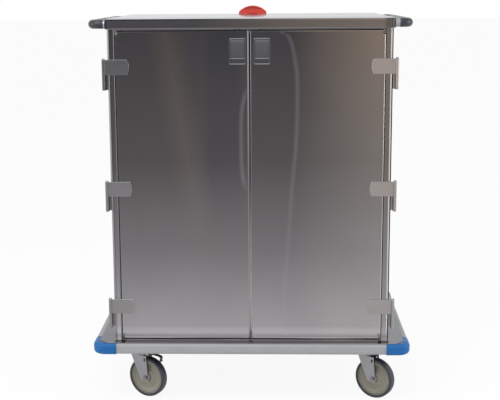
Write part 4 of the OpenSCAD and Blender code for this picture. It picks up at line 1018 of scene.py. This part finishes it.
class CART_OT_stage(bpy.types.Operator):
    """Makes the floor, the surroundings, the lamps and the camera"""

    bl_idname = "cart.stage"
    bl_label = "Stage"

    def execute(self, context):
        v, scene = context.scene.cart_stage, context.scene
        scene.view_settings.view_transform = "Standard"
        # Surroundings: white where the camera or a reflection sees them, a plain grey on matt surfaces
        world = bpy.data.worlds.new("surroundings")
        scene.world = world
        world.use_nodes = True
        nodes, links = world.node_tree.nodes, world.node_tree.links
        back, strength = nodes["Background"], nodes.new("ShaderNodeMapRange")
        strength.inputs["To Min"].default_value = v.fill
        strength.inputs["To Max"].default_value = 1.0
        links.new(seen(nodes, links), strength.inputs["Value"])
        links.new(strength.outputs[0], back.inputs["Strength"])
        back.inputs["Color"].default_value = (1, 1, 1, 1)
        # Floor: plain white and lit, so that it keeps the shadow, and partly shining, so that it ends white
        mesh = bpy.data.meshes.new("floor")
        e = FLOOR_HALF
        mesh.from_pydata([(-e, -e, 0), (e, -e, 0), (e, e, 0), (-e, e, 0)], [], [(0, 1, 2, 3)])
        floor = linked("floor", mesh)
        f = Finish("floor_white")
        f.set(Base_Color=(FLOOR_GREY, FLOOR_GREY, FLOOR_GREY, 1), Roughness=1.0, Specular_IOR_Level=0.0)
        glow = f.add("ShaderNodeEmission").outputs[0]
        share = f.times(seen(f.nodes, f.links), v.floor_white)
        mix = f.add("ShaderNodeMixShader", {0: share, 1: f.shader.outputs[0], 2: glow})
        f.put(f.nodes["Material Output"].inputs["Surface"], mix.outputs[0])
        mesh.materials.append(f.mat)
        for name, (place, size) in LAMPS.items():
            lamp = bpy.data.lights.new(name, "AREA")
            lamp.shape, lamp.size, lamp.energy = "SQUARE", size, getattr(v, name)
            linked(name, lamp).matrix_world = facing(place, np.array(LAMP_AIM) - place, 0)
        cam = bpy.data.cameras.new("camera")
        cam.lens, cam.sensor_width = v.lens, SENSOR_WIDTH
        cam.shift_x, cam.shift_y = CAMERA_SHIFT
        obj = linked("camera", cam)
        yaw, pitch, roll = (math.radians(a) for a in CAMERA_TURNS)
        aim = (math.sin(yaw) * math.cos(pitch), math.cos(yaw) * math.cos(pitch), -math.sin(pitch))
        obj.matrix_world = facing(CAMERA_PLACE, aim, roll)
        scene.camera = obj
        return {"FINISHED"}


def seen(nodes, links):
    """1 for what the camera or a reflection sees, 0 for light that falls on matt surfaces."""
    path, either = nodes.new("ShaderNodeLightPath"), nodes.new("ShaderNodeMath")
    either.operation = "MAXIMUM"
    for k, ray in enumerate(("Is Camera Ray", "Is Glossy Ray")):
        links.new(path.outputs[ray], either.inputs[k])
    return either.outputs[0]


def facing(place, aim, roll):
    """Matrix of a camera or lamp at place that looks along aim, turned by roll about that line."""
    f = np.array(aim, float) / np.linalg.norm(aim)
    r = np.cross(f, [0, 0, 1])
    r /= np.linalg.norm(r)
    u = np.cross(r, f)
    r2, u2 = r * math.cos(roll) + u * math.sin(roll), -r * math.sin(roll) + u * math.cos(roll)
    m = np.eye(4)
    m[:3, 0], m[:3, 1], m[:3, 2], m[:3, 3] = r2, u2, -f, place
    return Matrix(m.tolist())


OPERATORS = [CART_OT_top, CART_OT_cabinet, CART_OT_doors, CART_OT_hinges, CART_OT_latches, CART_OT_handles,
             CART_OT_bumpers, CART_OT_base, CART_OT_casters, CART_OT_shelves, CART_OT_sign, CART_OT_stage]
GROUPS = {"cart_finishes": CartFinishes, "cart_edges": CartEdges, "cart_stage": CartStage}


class CART_PT_looks(bpy.types.Panel):
    """Lists the cart's pieces and values"""

    bl_idname = "CART_PT_looks"
    bl_label = "Case cart"
    bl_space_type = "VIEW_3D"
    bl_region_type = "UI"
    bl_category = "Case cart"

    def draw(self, context):
        for name, group in GROUPS.items():
            column = self.layout.column(align=True)
            for key in group.__annotations__:
                column.prop(getattr(context.scene, name), key)
        column = self.layout.column(align=True)
        for op in OPERATORS:
            column.operator(op.bl_idname)


def register():
    for cls in [*GROUPS.values(), *OPERATORS, CART_PT_looks]:
        bpy.utils.register_class(cls)
    for name, group in GROUPS.items():
        setattr(bpy.types.Scene, name, bpy.props.PointerProperty(type=group))


def unregister():
    for name in GROUPS:
        delattr(bpy.types.Scene, name)
    for cls in reversed([*GROUPS.values(), *OPERATORS, CART_PT_looks]):
        bpy.utils.unregister_class(cls)


def main():
    register()
    for op in OPERATORS:
        group, name = op.bl_idname.split(".")
        getattr(getattr(bpy.ops, group), name)()


if __name__ == "__main__":
    main()
